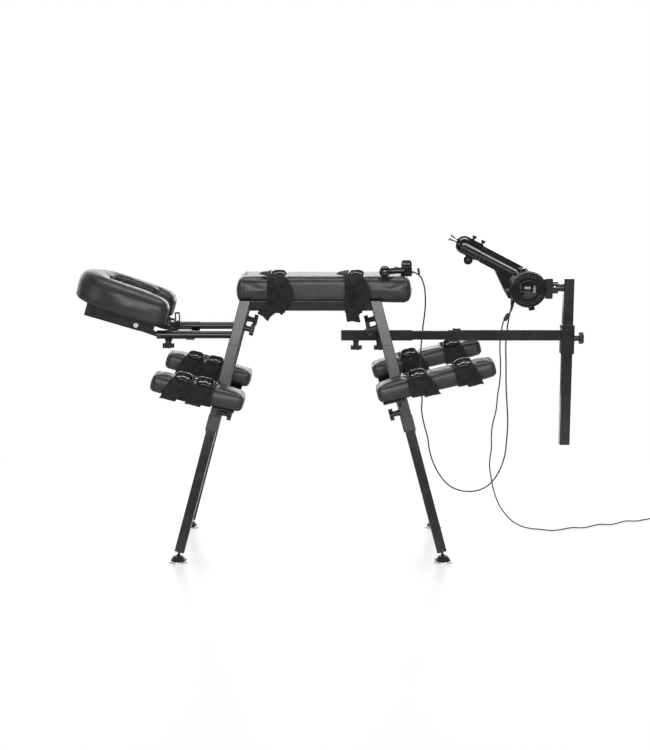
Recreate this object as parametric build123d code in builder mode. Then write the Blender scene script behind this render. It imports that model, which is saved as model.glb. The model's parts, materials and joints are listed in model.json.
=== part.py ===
from build123d import *
import math
import os

# Padded restraint bench on four splayed telescopic legs, with a face cradle at the front (-X), strapped pads for
# forearms and shins, and a reciprocating drive arm on a boom and post at the rear (+X). Millimetres, +Z up, origin
# on the floor at the centre of the bench's outline. Left is -Y for a person lying face down, head towards -X.

# ---- driving dimensions -------------------------------------------------------------------------------------------
GAP = 0.3                        # clearance between pieces that slide or turn on each other
FIT = 0.05                       # radial clearance of a running fit
CORNER = 2.5                     # outside corner radius of square tube

LEG_CENTRE_X = -65.0             # middle of the leg frame
FOOT_REACH_X, FOOT_REACH_Y = 383.0, 182.0    # leg axis from the middle, at the lower end of the leg
LEG_RAKE, LEG_SPLAY = 15.0, 7.2  # degrees from vertical, lengthwise and sideways
LEG_END_Z = 30.0
COLLAR_LOW_Z, COLLAR_TOP_Z = 382.0, 424.0
LOWER_LEG_TOP_Z = 505.0
SPIGOT_LOW_Z, SEAM_Z, SPIGOT_TOP_Z = 588.0, 628.0, 668.0
STUB_TOP_Z = 757.0
UPPER_TUBE, LOWER_TUBE, WALL = 32.0, 28.0, 1.7
COLLAR_SIZE = 35.0
LEG_KNOB_Z, STUB_KNOB_Z = 438.0, 683.0
FRAME_TUBE = 30.0

BALL_Z, BALL_R, STEM_R = 16.0, 7.0, 4.0      # levelling foot
FOOT_R, FOOT_RIM, FOOT_NECK_R, FOOT_TOP_Z = 28.0, 5.0, 12.0, 19.0

BENCH_X, BENCH_LENGTH, BENCH_WIDTH = -26.0, 504.0, 204.0
BENCH_LOW_Z, BENCH_TOP_Z = 760.0, 823.0
BOARD_INSET, BOARD_THICK = 12.0, 12.0
RAIL_Y, RAIL_Z = 80.0, 742.0

PAD_TILT = 13.6                  # limb pads, degrees up towards the ends of the bench
PAD_Y, PAD_WIDTH = 195.0, 104.0
ARM_PAD = {"x": -385.0, "z": 510.0, "length": 274.0, "thick": 54.0, "straps": (-46.0, 17.0), "side": -1}
SHIN_PAD = {"x": 292.0, "z": 543.0, "length": 350.0, "thick": 51.0, "straps": (-50.0, 84.0), "side": 1}
STRAP_THICK, STRAP_WIDTH = 2.5, 56.0
BENCH_STRAP_X, BENCH_STRAP_WIDTH, BENCH_STRAP_LOW_Z = (-166.0, 58.0), 50.0, 720.0
BUCKLE = (50.0, 40.0, 9.0)

CRADLE_TILT = 16.5               # degrees, high at the front
PIVOT_X, PIVOT_Z = -573.0, 684.0
RAIL_ROD_Y, RAIL_ROD_Z, RAIL_ROD_R = 97.0, 658.0, 10.0
RAIL_STUB_R, SLEEVE_R = 11.0, 12.5
SLEEVE_FRONT_X, SLEEVE_BACK_X = -511.0, -403.0
CRADLE_R, CRADLE_GAP_R, CRADLE_ARC_U, CRADLE_END_U = 150.0, 50.0, -56.0, 85.0
CRADLE_LOW_W, CRADLE_FRONT_W, CRADLE_BACK_W = 36.0, 111.0, 100.0
TRAY_SHEET, TRAY_LOW_W, TRAY_TOP_W = 3.0, -14.0, 26.0
TRAY_Y = 85.5                    # outside of the tray's flanges
QUADRANT_R, QUADRANT_HALF, LOCK_ANGLE = 105.0, 8.0, 8.5
TILT_DOWN, TILT_UP = 15.0, 12.0

BOOM_Z = 644.0
SOCKET_FRONT_X, SOCKET_BACK_X, SOCKET_SIZE = 25.0, 236.0, 32.0
INNER_BOOM_FRONT_X, INNER_BOOM_BACK_X, INNER_BOOM_SIZE = 45.0, 430.0, 27.6
OUTER_BOOM_FRONT_X = 344.0
BOOM_KNOB_X = (69.0, 138.0)
POST_X, POST_SIZE, POST_LOW_Z, POST_TOP_Z = 697.0, 30.0, 314.0, 812.0
POST_SLEEVE, POST_SLEEVE_LOW_Z, POST_SLEEVE_TOP_Z = 38.5, 588.0, 674.0
POST_KNOB_Z = 633.0

MOTOR_X, MOTOR_Z, MOTOR_R = 572.0, 784.0, 54.0
NOSE_X, NOSE_Z, NOSE_R = 387.0, 911.0, 27.0
ARM_SLOPE = 27.4                 # degrees, down towards the motor
BARREL_R, SHELL_HALF, SHELL_WALL = 24.0, 25.0, 3.0
CRANK_R, CRANK_PIN_R, CRANK_SLACK = 25.0, 3.0, 0.9
CRANK_REST = 45.0                # degrees before the crank points at the rod's line
ROD_R, COUPLER_R, COUPLER_S = 5.5, 11.0, -46.0
COVER_OUT_Y, DOME_OUT_Y = -48.0, -58.0

CONTROL_CABLE, POWER_CABLE = 4.4, 4.0        # cable diameters
COIL_R, COIL_SECTION = 22.0, 9.0             # mean radius and thickness of the put-away coil
COIL_X, COIL_Y = 1062.0, 268.0

SIDES = {"left": -1, "right": 1}
ENDS = {"front": -1, "rear": 1}
CORNERS = [(f"{end}_{side}", ENDS[end], SIDES[side]) for end in ENDS for side in SIDES]


# ---- shared helpers -----------------------------------------------------------------------------------------------
def keep(piece, name):
    """Label a finished sub-part and write it out."""
    piece.part.label = name
    export_step(piece.part, f"parts/{name}.step")


def leg_point(end, side, z):
    """Point of a leg's axis at height z."""
    rise = z - LEG_END_Z
    return Vector(
        LEG_CENTRE_X + end * (FOOT_REACH_X - rise * math.tan(math.radians(LEG_RAKE))),
        side * (FOOT_REACH_Y - rise * math.tan(math.radians(LEG_SPLAY))),
        z,
    )


def leg_plane(end, side, z):
    """Plane square to a leg's axis at height z: its normal runs up the leg, its x towards the bench's middle."""
    up = (leg_point(end, side, z + 1) - leg_point(end, side, z)).normalized()
    inward = Vector(-end, 0, 0)
    inward = (inward - up * inward.dot(up)).normalized()
    return Plane(origin=leg_point(end, side, z), x_dir=inward, z_dir=up)


def leg_run(end, side, low, top):
    """Distance along a leg's axis between two heights."""
    return (leg_point(end, side, top) - leg_point(end, side, low)).length


def square_tube(plane, size, bore, length):
    """A square tube with rounded corners, from the plane along its normal."""
    with BuildSketch(plane) as outline:
        RectangleRounded(size, size, CORNER)
        if bore:
            Rectangle(bore, bore, mode=Mode.SUBTRACT)
    extrude(outline.sketch, amount=length)


def knob_plane(end, side, z):
    """Plane of a leg knob: its normal points from the leg's axis towards the bench's middle."""
    square = leg_plane(end, side, z)
    return Plane(origin=square.origin, x_dir=square.y_dir, z_dir=square.x_dir)


def boss(plane, start, stop, radius=9.0, bore=4.0 + FIT):
    """A welded nut on a tube's wall, bored for the knob's screw."""
    with BuildSketch(plane.offset(start)) as outline:
        Circle(radius)
    extrude(outline.sketch, amount=stop - start)
    with BuildSketch(plane) as outline:
        Circle(bore)
    extrude(outline.sketch, amount=stop + 1, mode=Mode.SUBTRACT)


def star_knob(plane, tip, neck, star):
    """A clamp knob: screw, hub and a five-lobed star head, at distances along the plane's normal."""
    screw_r, hub_r, body_r, lobe_r, lobe_ring, head = 4.0, 8.0, 11.5, 5.2, 12.8, 12.0
    with BuildSketch(plane.offset(tip)) as outline:
        Circle(screw_r)
    extrude(outline.sketch, amount=star - tip + 1)
    with BuildSketch(plane.offset(neck)) as outline:
        Circle(hub_r)
    extrude(outline.sketch, amount=star - neck + 1)
    with BuildSketch(plane.offset(star)) as outline:
        Circle(body_r)
        with PolarLocations(lobe_ring, 5):
            Circle(lobe_r)
    extrude(outline.sketch, amount=head)


def slab(plane, low, high):
    """A box between two corners given in the plane's own x, y and normal."""
    with BuildSketch(plane.offset(low[2])) as outline:
        with Locations(((low[0] + high[0]) / 2, (low[1] + high[1]) / 2)):
            Rectangle(high[0] - low[0], high[1] - low[1])
    extrude(outline.sketch, amount=high[2] - low[2])


def rod(plane, radius, start, stop, mode=Mode.ADD):
    """A cylinder along the plane's normal, between two distances from the plane."""
    with BuildSketch(plane.offset(start)) as outline:
        Circle(radius)
    extrude(outline.sketch, amount=stop - start, mode=mode)


os.makedirs("parts", exist_ok=True)

# ---- bench frame --------------------------------------------------------------------------------------------------
LOWER_BORE = LOWER_TUBE - 2 * WALL
UPPER_BORE = LOWER_TUBE + 2 * GAP

with BuildPart() as leg_stubs:
    for _, end, side in CORNERS:
        square_tube(leg_plane(end, side, SEAM_Z), UPPER_TUBE, UPPER_BORE, leg_run(end, side, SEAM_Z, STUB_TOP_Z + 40))
        boss(knob_plane(end, side, STUB_KNOB_Z), UPPER_TUBE / 2 - 1, 22)
    split(bisect_by=Plane.XY.offset(STUB_TOP_Z), keep=Keep.BOTTOM)
keep(leg_stubs, "leg_stubs")

with BuildPart() as stub_space:
    for _, end, side in CORNERS:
        square_tube(leg_plane(end, side, SEAM_Z), UPPER_TUBE, 0, leg_run(end, side, SEAM_Z, STUB_TOP_Z + 60))

with BuildPart() as bench_rails:
    for side in SIDES.values():
        with BuildSketch(Plane(origin=(LEG_CENTRE_X - 196, side * RAIL_Y, RAIL_Z), x_dir=(0, 1, 0), z_dir=(1, 0, 0))):
            RectangleRounded(FRAME_TUBE, FRAME_TUBE, CORNER)
            Rectangle(FRAME_TUBE - 4, FRAME_TUBE - 4, mode=Mode.SUBTRACT)
        extrude(amount=392)
    add(stub_space.part, mode=Mode.SUBTRACT)
    for side in SIDES.values():
        for end in ENDS.values():
            with Locations((LEG_CENTRE_X + end * 210, side * RAIL_Y, RAIL_Z)):
                Box(40, 60, 60, mode=Mode.SUBTRACT)
keep(bench_rails, "bench_rails")

with BuildPart() as bench_crossbars:
    for end in ENDS.values():
        with BuildSketch(Plane(origin=(LEG_CENTRE_X + end * 192, -110, RAIL_Z), x_dir=(1, 0, 0), z_dir=(0, 1, 0))):
            RectangleRounded(FRAME_TUBE - 2, FRAME_TUBE - 2, CORNER)
            Rectangle(FRAME_TUBE - 6, FRAME_TUBE - 6, mode=Mode.SUBTRACT)
        extrude(amount=220)
    with BuildSketch(Plane(origin=(leg_point(1, 1, 675).X, -110, BOOM_Z + SOCKET_SIZE / 2 + FRAME_TUBE / 2),
                           x_dir=(1, 0, 0), z_dir=(0, 1, 0))):
        RectangleRounded(FRAME_TUBE - 4, FRAME_TUBE, CORNER)
        Rectangle(FRAME_TUBE - 8, FRAME_TUBE - 4, mode=Mode.SUBTRACT)
    extrude(amount=220)
    add(stub_space.part, mode=Mode.SUBTRACT)
    add(bench_rails.part, mode=Mode.SUBTRACT)
    for side in SIDES.values():
        with Locations((LEG_CENTRE_X, side * 130, 700)):
            Box(600, 86, 160, mode=Mode.SUBTRACT)
keep(bench_crossbars, "bench_crossbars")

# ---- telescopic legs ----------------------------------------------------------------------------------------------
with BuildPart() as outer_leg_tubes:
    for _, end, side in CORNERS:
        low = leg_plane(end, side, COLLAR_TOP_Z)
        square_tube(low, UPPER_TUBE, UPPER_BORE, leg_run(end, side, COLLAR_TOP_Z, SEAM_Z))
        boss(knob_plane(end, side, LEG_KNOB_Z), UPPER_TUBE / 2 - 1, 22)
    for _, end, side in CORNERS:
        with BuildSketch(leg_plane(end, side, SPIGOT_LOW_Z)) as insert:
            Rectangle(UPPER_BORE, UPPER_BORE)
            Rectangle(UPPER_BORE - 6, UPPER_BORE - 6, mode=Mode.SUBTRACT)
        extrude(insert.sketch, amount=leg_run(end, side, SPIGOT_LOW_Z, SEAM_Z))
        with BuildSketch(leg_plane(end, side, SEAM_Z)) as insert:
            Rectangle(UPPER_BORE - 0.4, UPPER_BORE - 0.4)
            Rectangle(UPPER_BORE - 6, UPPER_BORE - 6, mode=Mode.SUBTRACT)
        extrude(insert.sketch, amount=leg_run(end, side, SEAM_Z, SPIGOT_TOP_Z))
        rod(knob_plane(end, side, STUB_KNOB_Z), 4.0 + FIT, 10, 20, Mode.SUBTRACT)
keep(outer_leg_tubes, "outer_leg_tubes")

with BuildPart() as leg_collars:
    for _, end, side in CORNERS:
        square_tube(leg_plane(end, side, COLLAR_LOW_Z), COLLAR_SIZE, UPPER_BORE,
                    leg_run(end, side, COLLAR_LOW_Z, COLLAR_TOP_Z))
keep(leg_collars, "leg_collars")

with BuildPart() as frame_knobs:
    for _, end, side in CORNERS:
        star_knob(knob_plane(end, side, STUB_KNOB_Z), UPPER_TUBE / 2 - 2, 22 + GAP, 34)
keep(frame_knobs, "frame_knobs")

for name, end, side in CORNERS:
    with BuildPart() as leg_knob:
        star_knob(knob_plane(end, side, LEG_KNOB_Z), LOWER_TUBE / 2 + GAP, 22 + GAP, 34)
    keep(leg_knob, f"leg_knob_{name}")

    with BuildPart() as lower_leg:
        plane = leg_plane(end, side, LEG_END_Z)
        square_tube(plane, LOWER_TUBE, LOWER_BORE, leg_run(end, side, LEG_END_Z, LOWER_LEG_TOP_Z))
        # end plug, threaded stem and ball of the levelling foot
        slab(plane, (-LOWER_BORE / 2, -LOWER_BORE / 2, 0), (LOWER_BORE / 2, LOWER_BORE / 2, 16))
        ball_centre = leg_point(end, side, BALL_Z)
        rod(Plane(origin=ball_centre, x_dir=plane.x_dir, z_dir=plane.z_dir), STEM_R, 0, 22)
        with Locations(ball_centre):
            Sphere(BALL_R)
    keep(lower_leg, f"lower_leg_{name}")

    with BuildPart() as foot:
        spot = leg_point(end, side, BALL_Z)
        with BuildSketch(Plane(origin=(spot.X, spot.Y, 0), x_dir=(1, 0, 0), z_dir=(0, -1, 0))) as profile:
            with BuildLine():
                Polyline((0, 0), (FOOT_R - 1, 0), (FOOT_R, 1), (FOOT_R, FOOT_RIM - 1), (FOOT_R - 1.5, FOOT_RIM))
                Line((FOOT_R - 1.5, FOOT_RIM), (FOOT_R - 5, FOOT_RIM + 0.6))
                ThreePointArc((FOOT_R - 5, FOOT_RIM + 0.6), (17.5, 12.6), (FOOT_NECK_R, FOOT_TOP_Z))
                Polyline((FOOT_NECK_R, FOOT_TOP_Z), (0, FOOT_TOP_Z), (0, 0))
            make_face()
        revolve(profile.sketch, axis=Axis((spot.X, spot.Y, 0), (0, 0, 1)))
        with Locations(spot):
            Sphere(BALL_R + FIT, mode=Mode.SUBTRACT)
    keep(foot, f"foot_{name}")

# ---- bench pad ----------------------------------------------------------------------------------------------------
with BuildPart() as pad_board:
    with Locations((BENCH_X, 0, BENCH_LOW_Z + BOARD_THICK / 2)):
        Box(BENCH_LENGTH - 2 * BOARD_INSET, BENCH_WIDTH - 2 * BOARD_INSET, BOARD_THICK)
    # packing strips that carry the board on the rails
    for side in SIDES.values():
        with Locations((LEG_CENTRE_X, side * (RAIL_Y - 4), (RAIL_Z + FRAME_TUBE / 2 + BENCH_LOW_Z) / 2)):
            Box(340, 20, BENCH_LOW_Z - RAIL_Z - FRAME_TUBE / 2)
keep(pad_board, "pad_board")

with BuildPart() as bench_pad:
    with Locations((BENCH_X, 0, (BENCH_LOW_Z + BENCH_TOP_Z) / 2)):
        Box(BENCH_LENGTH, BENCH_WIDTH, BENCH_TOP_Z - BENCH_LOW_Z)
    fillet(bench_pad.edges(), 9)
    with Locations((BENCH_X, 0, BENCH_LOW_Z + BOARD_THICK / 2 - 1)):
        Box(BENCH_LENGTH - 2 * BOARD_INSET, BENCH_WIDTH - 2 * BOARD_INSET, BOARD_THICK + 2, mode=Mode.SUBTRACT)
keep(bench_pad, "bench_pad")

# ---- limb pads ----------------------------------------------------------------------------------------------------
def limb_plane(pad, side, offset=0.0):
    """Plane at a limb pad's middle: x along the pad and up outwards, normal square to its top."""
    tilt = math.radians(PAD_TILT)
    end = pad["side"]
    along = Vector(math.cos(tilt), 0, end * math.sin(tilt))
    centre = Vector(pad["x"], side * PAD_Y, pad["z"]) + along * offset
    return Plane(origin=centre, x_dir=along, z_dir=(-end * math.sin(tilt), 0, math.cos(tilt)))


with BuildPart() as leg_space:
    for _, end, side in CORNERS:
        square_tube(leg_plane(end, side, COLLAR_TOP_Z), UPPER_TUBE, 0, leg_run(end, side, COLLAR_TOP_Z, SEAM_Z))

with BuildPart() as limb_pad_brackets:
    for pad in (ARM_PAD, SHIN_PAD):
        for side in SIDES.values():
            end = pad["side"]
            leg_x = leg_point(end, side, pad["z"]).X
            plane = limb_plane(pad, side, (leg_x - pad["x"]) / math.cos(math.radians(PAD_TILT)))
            low = -pad["thick"] / 2 - 5
            near, far = sorted((-end * 46, end * 16))
            inner, outer = sorted((-side * 70, side * 40))
            slab(plane, (near, inner, low), (far, outer, low + 5))
            # web under the plate, against the leg
            web_inner, web_outer = sorted((-side * 70, side * 20))
            slab(plane, (-3, web_inner, low - 22), (3, web_outer, low))
    add(leg_space.part, mode=Mode.SUBTRACT)
    for side in SIDES.values():
        with Locations((0, side * 60, 520)):
            Box(1200, 120, 400, mode=Mode.SUBTRACT)
keep(limb_pad_brackets, "limb_pad_brackets")

for limb, pad in (("forearm", ARM_PAD), ("shin", SHIN_PAD)):
    for hand, side in SIDES.items():
        with BuildPart() as limb_pad:
            plane = limb_plane(pad, side)
            slab(plane, (-pad["length"] / 2, -PAD_WIDTH / 2, -pad["thick"] / 2),
                 (pad["length"] / 2, PAD_WIDTH / 2, pad["thick"] / 2))
            fillet(limb_pad.edges(), 9)
        keep(limb_pad, f"{limb}_pad_{hand}")

with BuildPart() as straps:
    for x in BENCH_STRAP_X:
        low, top = BENCH_STRAP_LOW_Z, BENCH_TOP_Z + 0.5 + STRAP_THICK
        half = BENCH_WIDTH / 2 + 5 + STRAP_THICK
        with Locations((x, 0, (low + top) / 2)):
            Box(BENCH_STRAP_WIDTH, 2 * half, top - low)
            Box(BENCH_STRAP_WIDTH, 2 * half - 2 * STRAP_THICK, top - low - 2 * STRAP_THICK, mode=Mode.SUBTRACT)
    for pad in (ARM_PAD, SHIN_PAD):
        for side in SIDES.values():
            for place in pad["straps"]:
                plane = limb_plane(pad, side, place)
                high, wide = pad["thick"] / 2 + 0.4, PAD_WIDTH / 2 + 0.4
                with BuildSketch(plane.offset(-high - STRAP_THICK)) as band:
                    Rectangle(STRAP_WIDTH, 2 * (wide + STRAP_THICK))
                extrude(band.sketch, amount=2 * (high + STRAP_THICK))
                with BuildSketch(plane.offset(-high)) as band:
                    Rectangle(STRAP_WIDTH + 2, 2 * wide)
                extrude(band.sketch, amount=2 * high, mode=Mode.SUBTRACT)
keep(straps, "straps")

with BuildPart() as strap_buckles:
    for pad in (ARM_PAD, SHIN_PAD):
        for side in SIDES.values():
            for place in pad["straps"]:
                plane = limb_plane(pad, side, place)
                top = pad["thick"] / 2 + 0.4 + STRAP_THICK
                slab(plane, (-BUCKLE[0] / 2, -BUCKLE[1] / 2, top), (BUCKLE[0] / 2, BUCKLE[1] / 2, top + BUCKLE[2]))
    for x in BENCH_STRAP_X:
        with Locations((x, -48, BENCH_TOP_Z + 0.5 + STRAP_THICK + BUCKLE[2] / 2)):
            Box(58, 44, BUCKLE[2])
keep(strap_buckles, "strap_buckles")

# ---- face cradle --------------------------------------------------------------------------------------------------
tilt_cos, tilt_sin = math.cos(math.radians(CRADLE_TILT)), math.sin(math.radians(CRADLE_TILT))
cradle_plane = Plane(origin=(PIVOT_X, 0, PIVOT_Z), x_dir=(tilt_cos, 0, -tilt_sin), z_dir=(tilt_sin, 0, tilt_cos))


def cradle_side(y):
    """Upright plane through the cradle's tilt at a given y: x down the slope, y square to it, normal to -Y."""
    return Plane(origin=(PIVOT_X, y, PIVOT_Z), x_dir=(tilt_cos, 0, -tilt_sin), z_dir=(0, -1, 0))


def horseshoe(plane, inset, height):
    """A horseshoe, closed at the front, with every outline moved in by the inset."""
    outer, inner, back = CRADLE_R - inset, CRADLE_GAP_R + inset, CRADLE_END_U - inset
    with BuildSketch(plane) as outline:
        with BuildLine():
            Line((back, inner), (CRADLE_ARC_U, inner))
            ThreePointArc((CRADLE_ARC_U, inner), (CRADLE_ARC_U - inner, 0), (CRADLE_ARC_U, -inner))
            Polyline((CRADLE_ARC_U, -inner), (back, -inner), (back, -outer), (CRADLE_ARC_U, -outer))
            ThreePointArc((CRADLE_ARC_U, -outer), (CRADLE_ARC_U - outer, 0), (CRADLE_ARC_U, outer))
            Polyline((CRADLE_ARC_U, outer), (back, outer), (back, inner))
        make_face()
        fillet([point for point in outline.vertices() if point.X > back - 1], 34 - inset)
    extrude(outline.sketch, amount=height)


def arc_band(plane, middle, half, low, high):
    """A curved strip about the plane's origin between two angles."""
    with BuildSketch(plane) as band:
        Circle(middle + half)
        Circle(middle - half, mode=Mode.SUBTRACT)
        reach = 2 * middle
        corners = [(reach * math.cos(math.radians(a)), reach * math.sin(math.radians(a)))
                   for a in (low, (low + high) / 2, high)]
        with BuildSketch(mode=Mode.PRIVATE) as wedge:
            with BuildLine():
                Polyline((0, 0), *corners, (0, 0))
            make_face()
        add(wedge.sketch, mode=Mode.INTERSECT)
    return band.sketch


with BuildPart() as cradle_rails:
    for side in SIDES.values():
        start = Plane(origin=(SLEEVE_FRONT_X + 4, side * RAIL_ROD_Y, RAIL_ROD_Z), x_dir=(0, 1, 0), z_dir=(1, 0, 0))
        stub_x = leg_point(-1, side, RAIL_ROD_Z).X
        rod(start, RAIL_ROD_R, 0, stub_x - SLEEVE_FRONT_X - 4)
        rod(start, RAIL_STUB_R, SLEEVE_BACK_X - SLEEVE_FRONT_X - 4 + GAP, stub_x - SLEEVE_FRONT_X - 4)
    add(stub_space.part, mode=Mode.SUBTRACT)
keep(cradle_rails, "cradle_rails")

pin_u = QUADRANT_R * math.cos(math.radians(LOCK_ANGLE))
pin_w = QUADRANT_R * math.sin(math.radians(LOCK_ANGLE))
CRADLE_KNOB_X = -479.0

with BuildPart() as cradle_carriage:
    for side in SIDES.values():
        start = Plane(origin=(SLEEVE_FRONT_X, side * RAIL_ROD_Y, RAIL_ROD_Z), x_dir=(0, 1, 0), z_dir=(1, 0, 0))
        rod(start, SLEEVE_R, 0, SLEEVE_BACK_X - SLEEVE_FRONT_X)
        # link arm up to the tilt pivot, with the lock pin that runs in the quadrant
        arm_top = 82.0 if side > 0 else -78.0
        with BuildSketch(cradle_side(arm_top)) as arm:
            with BuildLine():
                Polyline((0, -13), (66, -16), (112, -2), (113, 12), (pin_u, 24), (94, 14), (64, -3), (5, 12), (0, -13))
            make_face()
            Circle(13)
            Circle(4 + FIT, mode=Mode.SUBTRACT)
        extrude(arm.sketch, amount=4)
        with Locations((-493, side * 83, 657)):
            Box(30, 6, 18)
        pin_back = 79.0 if side > 0 else -69.0
        with BuildSketch(cradle_side(pin_back)) as pin:
            with Locations((pin_u, pin_w)):
                Circle(4.0)
        extrude(pin.sketch, amount=10)
        under = Plane(origin=(CRADLE_KNOB_X, side * RAIL_ROD_Y, RAIL_ROD_Z), x_dir=(1, 0, 0), z_dir=(0, 0, -1))
        boss(under, 11, 17)
    with Locations((-415, 0, RAIL_ROD_Z - 13)):
        Box(24, 2 * RAIL_ROD_Y, 5)
    for side in SIDES.values():
        start = Plane(origin=(SLEEVE_FRONT_X, side * RAIL_ROD_Y, RAIL_ROD_Z), x_dir=(0, 1, 0), z_dir=(1, 0, 0))
        rod(start, RAIL_ROD_R + FIT, -5, SLEEVE_BACK_X - SLEEVE_FRONT_X + 5, Mode.SUBTRACT)
keep(cradle_carriage, "cradle_carriage")

for hand, side in SIDES.items():
    with BuildPart() as cradle_knob:
        under = Plane(origin=(CRADLE_KNOB_X, side * RAIL_ROD_Y, RAIL_ROD_Z), x_dir=(1, 0, 0), z_dir=(0, 0, -1))
        star_knob(under, RAIL_ROD_R + GAP, 17 + GAP, 26)
    keep(cradle_knob, f"cradle_knob_{hand}")

with BuildPart() as cradle_tray:
    front_u, end_u = -153.0, 88.0
    for side in SIDES.values():
        flange_y = TRAY_Y if side > 0 else -TRAY_Y + TRAY_SHEET
        with BuildSketch(cradle_side(flange_y)) as flange:
            with BuildLine():
                Polyline((front_u, TRAY_LOW_W), (10, TRAY_LOW_W), (52, -9), (54, TRAY_TOP_W), (front_u, TRAY_TOP_W),
                         (front_u, TRAY_LOW_W))
            make_face()
            Circle(4 + FIT, mode=Mode.SUBTRACT)
        extrude(flange.sketch, amount=TRAY_SHEET)
        web_in, web_out = sorted((side * 56, side * (TRAY_Y - 1)))
        slab(cradle_plane, (front_u, web_in, TRAY_TOP_W - TRAY_SHEET), (54, web_out, TRAY_TOP_W))
        web_in, web_out = sorted((side * 56, side * 76))
        slab(cradle_plane, (50, web_in, TRAY_TOP_W - TRAY_SHEET), (end_u, web_out, TRAY_TOP_W))
        web_in, web_out = sorted((side * 68, side * 76))
        slab(cradle_plane, (end_u - 1, web_in, TRAY_TOP_W - TRAY_SHEET), (QUADRANT_R - 2, web_out, TRAY_TOP_W))
        plate_y = 74.0 if side > 0 else -70.0
        extrude(arc_band(cradle_side(plate_y), QUADRANT_R, QUADRANT_HALF, -14, 26.5), amount=4)
        # the lock pin's slot also goes through the web beside the plate
        extrude(arc_band(cradle_side(plate_y + 4), QUADRANT_R, 4 + FIT, LOCK_ANGLE - TILT_DOWN - 3,
                         LOCK_ANGLE + TILT_UP + 3), amount=12, mode=Mode.SUBTRACT)
    slab(cradle_plane, (front_u, -57, TRAY_TOP_W - TRAY_SHEET), (-124, 57, TRAY_TOP_W))
    slab(cradle_plane, (68, -57, TRAY_TOP_W - TRAY_SHEET), (end_u, 57, TRAY_TOP_W))
keep(cradle_tray, "cradle_tray")

with BuildPart() as cradle_board:
    horseshoe(cradle_plane.offset(TRAY_TOP_W), 10, CRADLE_LOW_W - TRAY_TOP_W)
keep(cradle_board, "cradle_board")

with BuildPart() as cradle_pad:
    horseshoe(cradle_plane.offset(CRADLE_LOW_W), 0, CRADLE_FRONT_W - CRADLE_LOW_W + 4)
    front_u = CRADLE_ARC_U - CRADLE_R
    steep = math.radians(CRADLE_TILT) + math.atan2(CRADLE_FRONT_W - CRADLE_BACK_W, CRADLE_END_U - front_u)
    top_spot = cradle_plane.from_local_coords((front_u, 0, CRADLE_FRONT_W))
    split(bisect_by=Plane(origin=top_spot, x_dir=(math.cos(steep), 0, -math.sin(steep)),
                          z_dir=(math.sin(steep), 0, math.cos(steep))), keep=Keep.BOTTOM)
    fillet(cradle_pad.faces().sort_by(Axis((0, 0, 0), (math.sin(steep), 0, math.cos(steep))))[-1].edges(), 20)
keep(cradle_pad, "cradle_pad")

with BuildPart() as cradle_pivot_bolts:
    for side in SIDES.values():
        out = Plane(origin=(PIVOT_X, 0, PIVOT_Z), x_dir=(1, 0, 0), z_dir=(0, side, 0))
        rod(out, 4.0, 72, 88)
        rod(out, 7.0, TRAY_Y, 89.5)
        rod(out, 7.0, 72, 78 - GAP)
keep(cradle_pivot_bolts, "cradle_pivot_bolts")

# ---- boom and post ------------------------------------------------------------------------------------------------
def boom_plane(x, z=BOOM_Z):
    """Plane square to the boom at x: normal to +X."""
    return Plane(origin=(x, 0, z), x_dir=(0, 1, 0), z_dir=(1, 0, 0))


with BuildPart() as boom_socket:
    square_tube(boom_plane(SOCKET_FRONT_X), SOCKET_SIZE, INNER_BOOM_SIZE + 2 * GAP, SOCKET_BACK_X - SOCKET_FRONT_X)
    for x in BOOM_KNOB_X:
        boss(Plane(origin=(x, 0, BOOM_Z), x_dir=(1, 0, 0), z_dir=(0, 0, -1)), SOCKET_SIZE / 2 - 1, 21)
keep(boom_socket, "boom_socket")

for name, x in zip(("front", "rear"), BOOM_KNOB_X):
    with BuildPart() as boom_knob:
        star_knob(Plane(origin=(x, 0, BOOM_Z), x_dir=(1, 0, 0), z_dir=(0, 0, -1)), INNER_BOOM_SIZE / 2 + GAP,
                  21 + GAP, 32)
    keep(boom_knob, f"boom_knob_{name}")

BOLT_X = 368.0
with BuildPart() as inner_boom:
    square_tube(boom_plane(INNER_BOOM_FRONT_X), INNER_BOOM_SIZE, INNER_BOOM_SIZE - 4,
                INNER_BOOM_BACK_X - INNER_BOOM_FRONT_X)
    rod(Plane(origin=(BOLT_X, 0, BOOM_Z)), 4.0, 0, 20, Mode.SUBTRACT)
keep(inner_boom, "inner_boom")

sleeve_front = POST_X - POST_SLEEVE / 2
with BuildPart() as outer_boom:
    square_tube(boom_plane(OUTER_BOOM_FRONT_X), SOCKET_SIZE, INNER_BOOM_SIZE + 2 * GAP,
                sleeve_front - OUTER_BOOM_FRONT_X)
    rod(Plane(origin=(BOLT_X, 0, BOOM_Z)), 4.0, 0, 20, Mode.SUBTRACT)
    post_low = Plane(origin=(POST_X, 0, POST_SLEEVE_LOW_Z))
    square_tube(post_low, POST_SLEEVE, POST_SIZE + 2 * GAP, POST_SLEEVE_TOP_Z - POST_SLEEVE_LOW_Z)
    post_knob_plane = Plane(origin=(POST_X, 0, POST_KNOB_Z), x_dir=(0, 1, 0), z_dir=(1, 0, 0))
    boss(post_knob_plane, POST_SLEEVE / 2 - 1, 24)
    # bolt that fixes the two tubes of the boom
    rod(Plane(origin=(BOLT_X, 0, BOOM_Z)), 4.0, 9, 17)
    rod(Plane(origin=(BOLT_X, 0, BOOM_Z)), 12.0, SOCKET_SIZE / 2, SOCKET_SIZE / 2 + 4)
keep(outer_boom, "outer_boom")

with BuildPart() as post_knob:
    star_knob(post_knob_plane, POST_SIZE / 2 + GAP, 24 + GAP, 36)
keep(post_knob, "post_knob")

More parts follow.
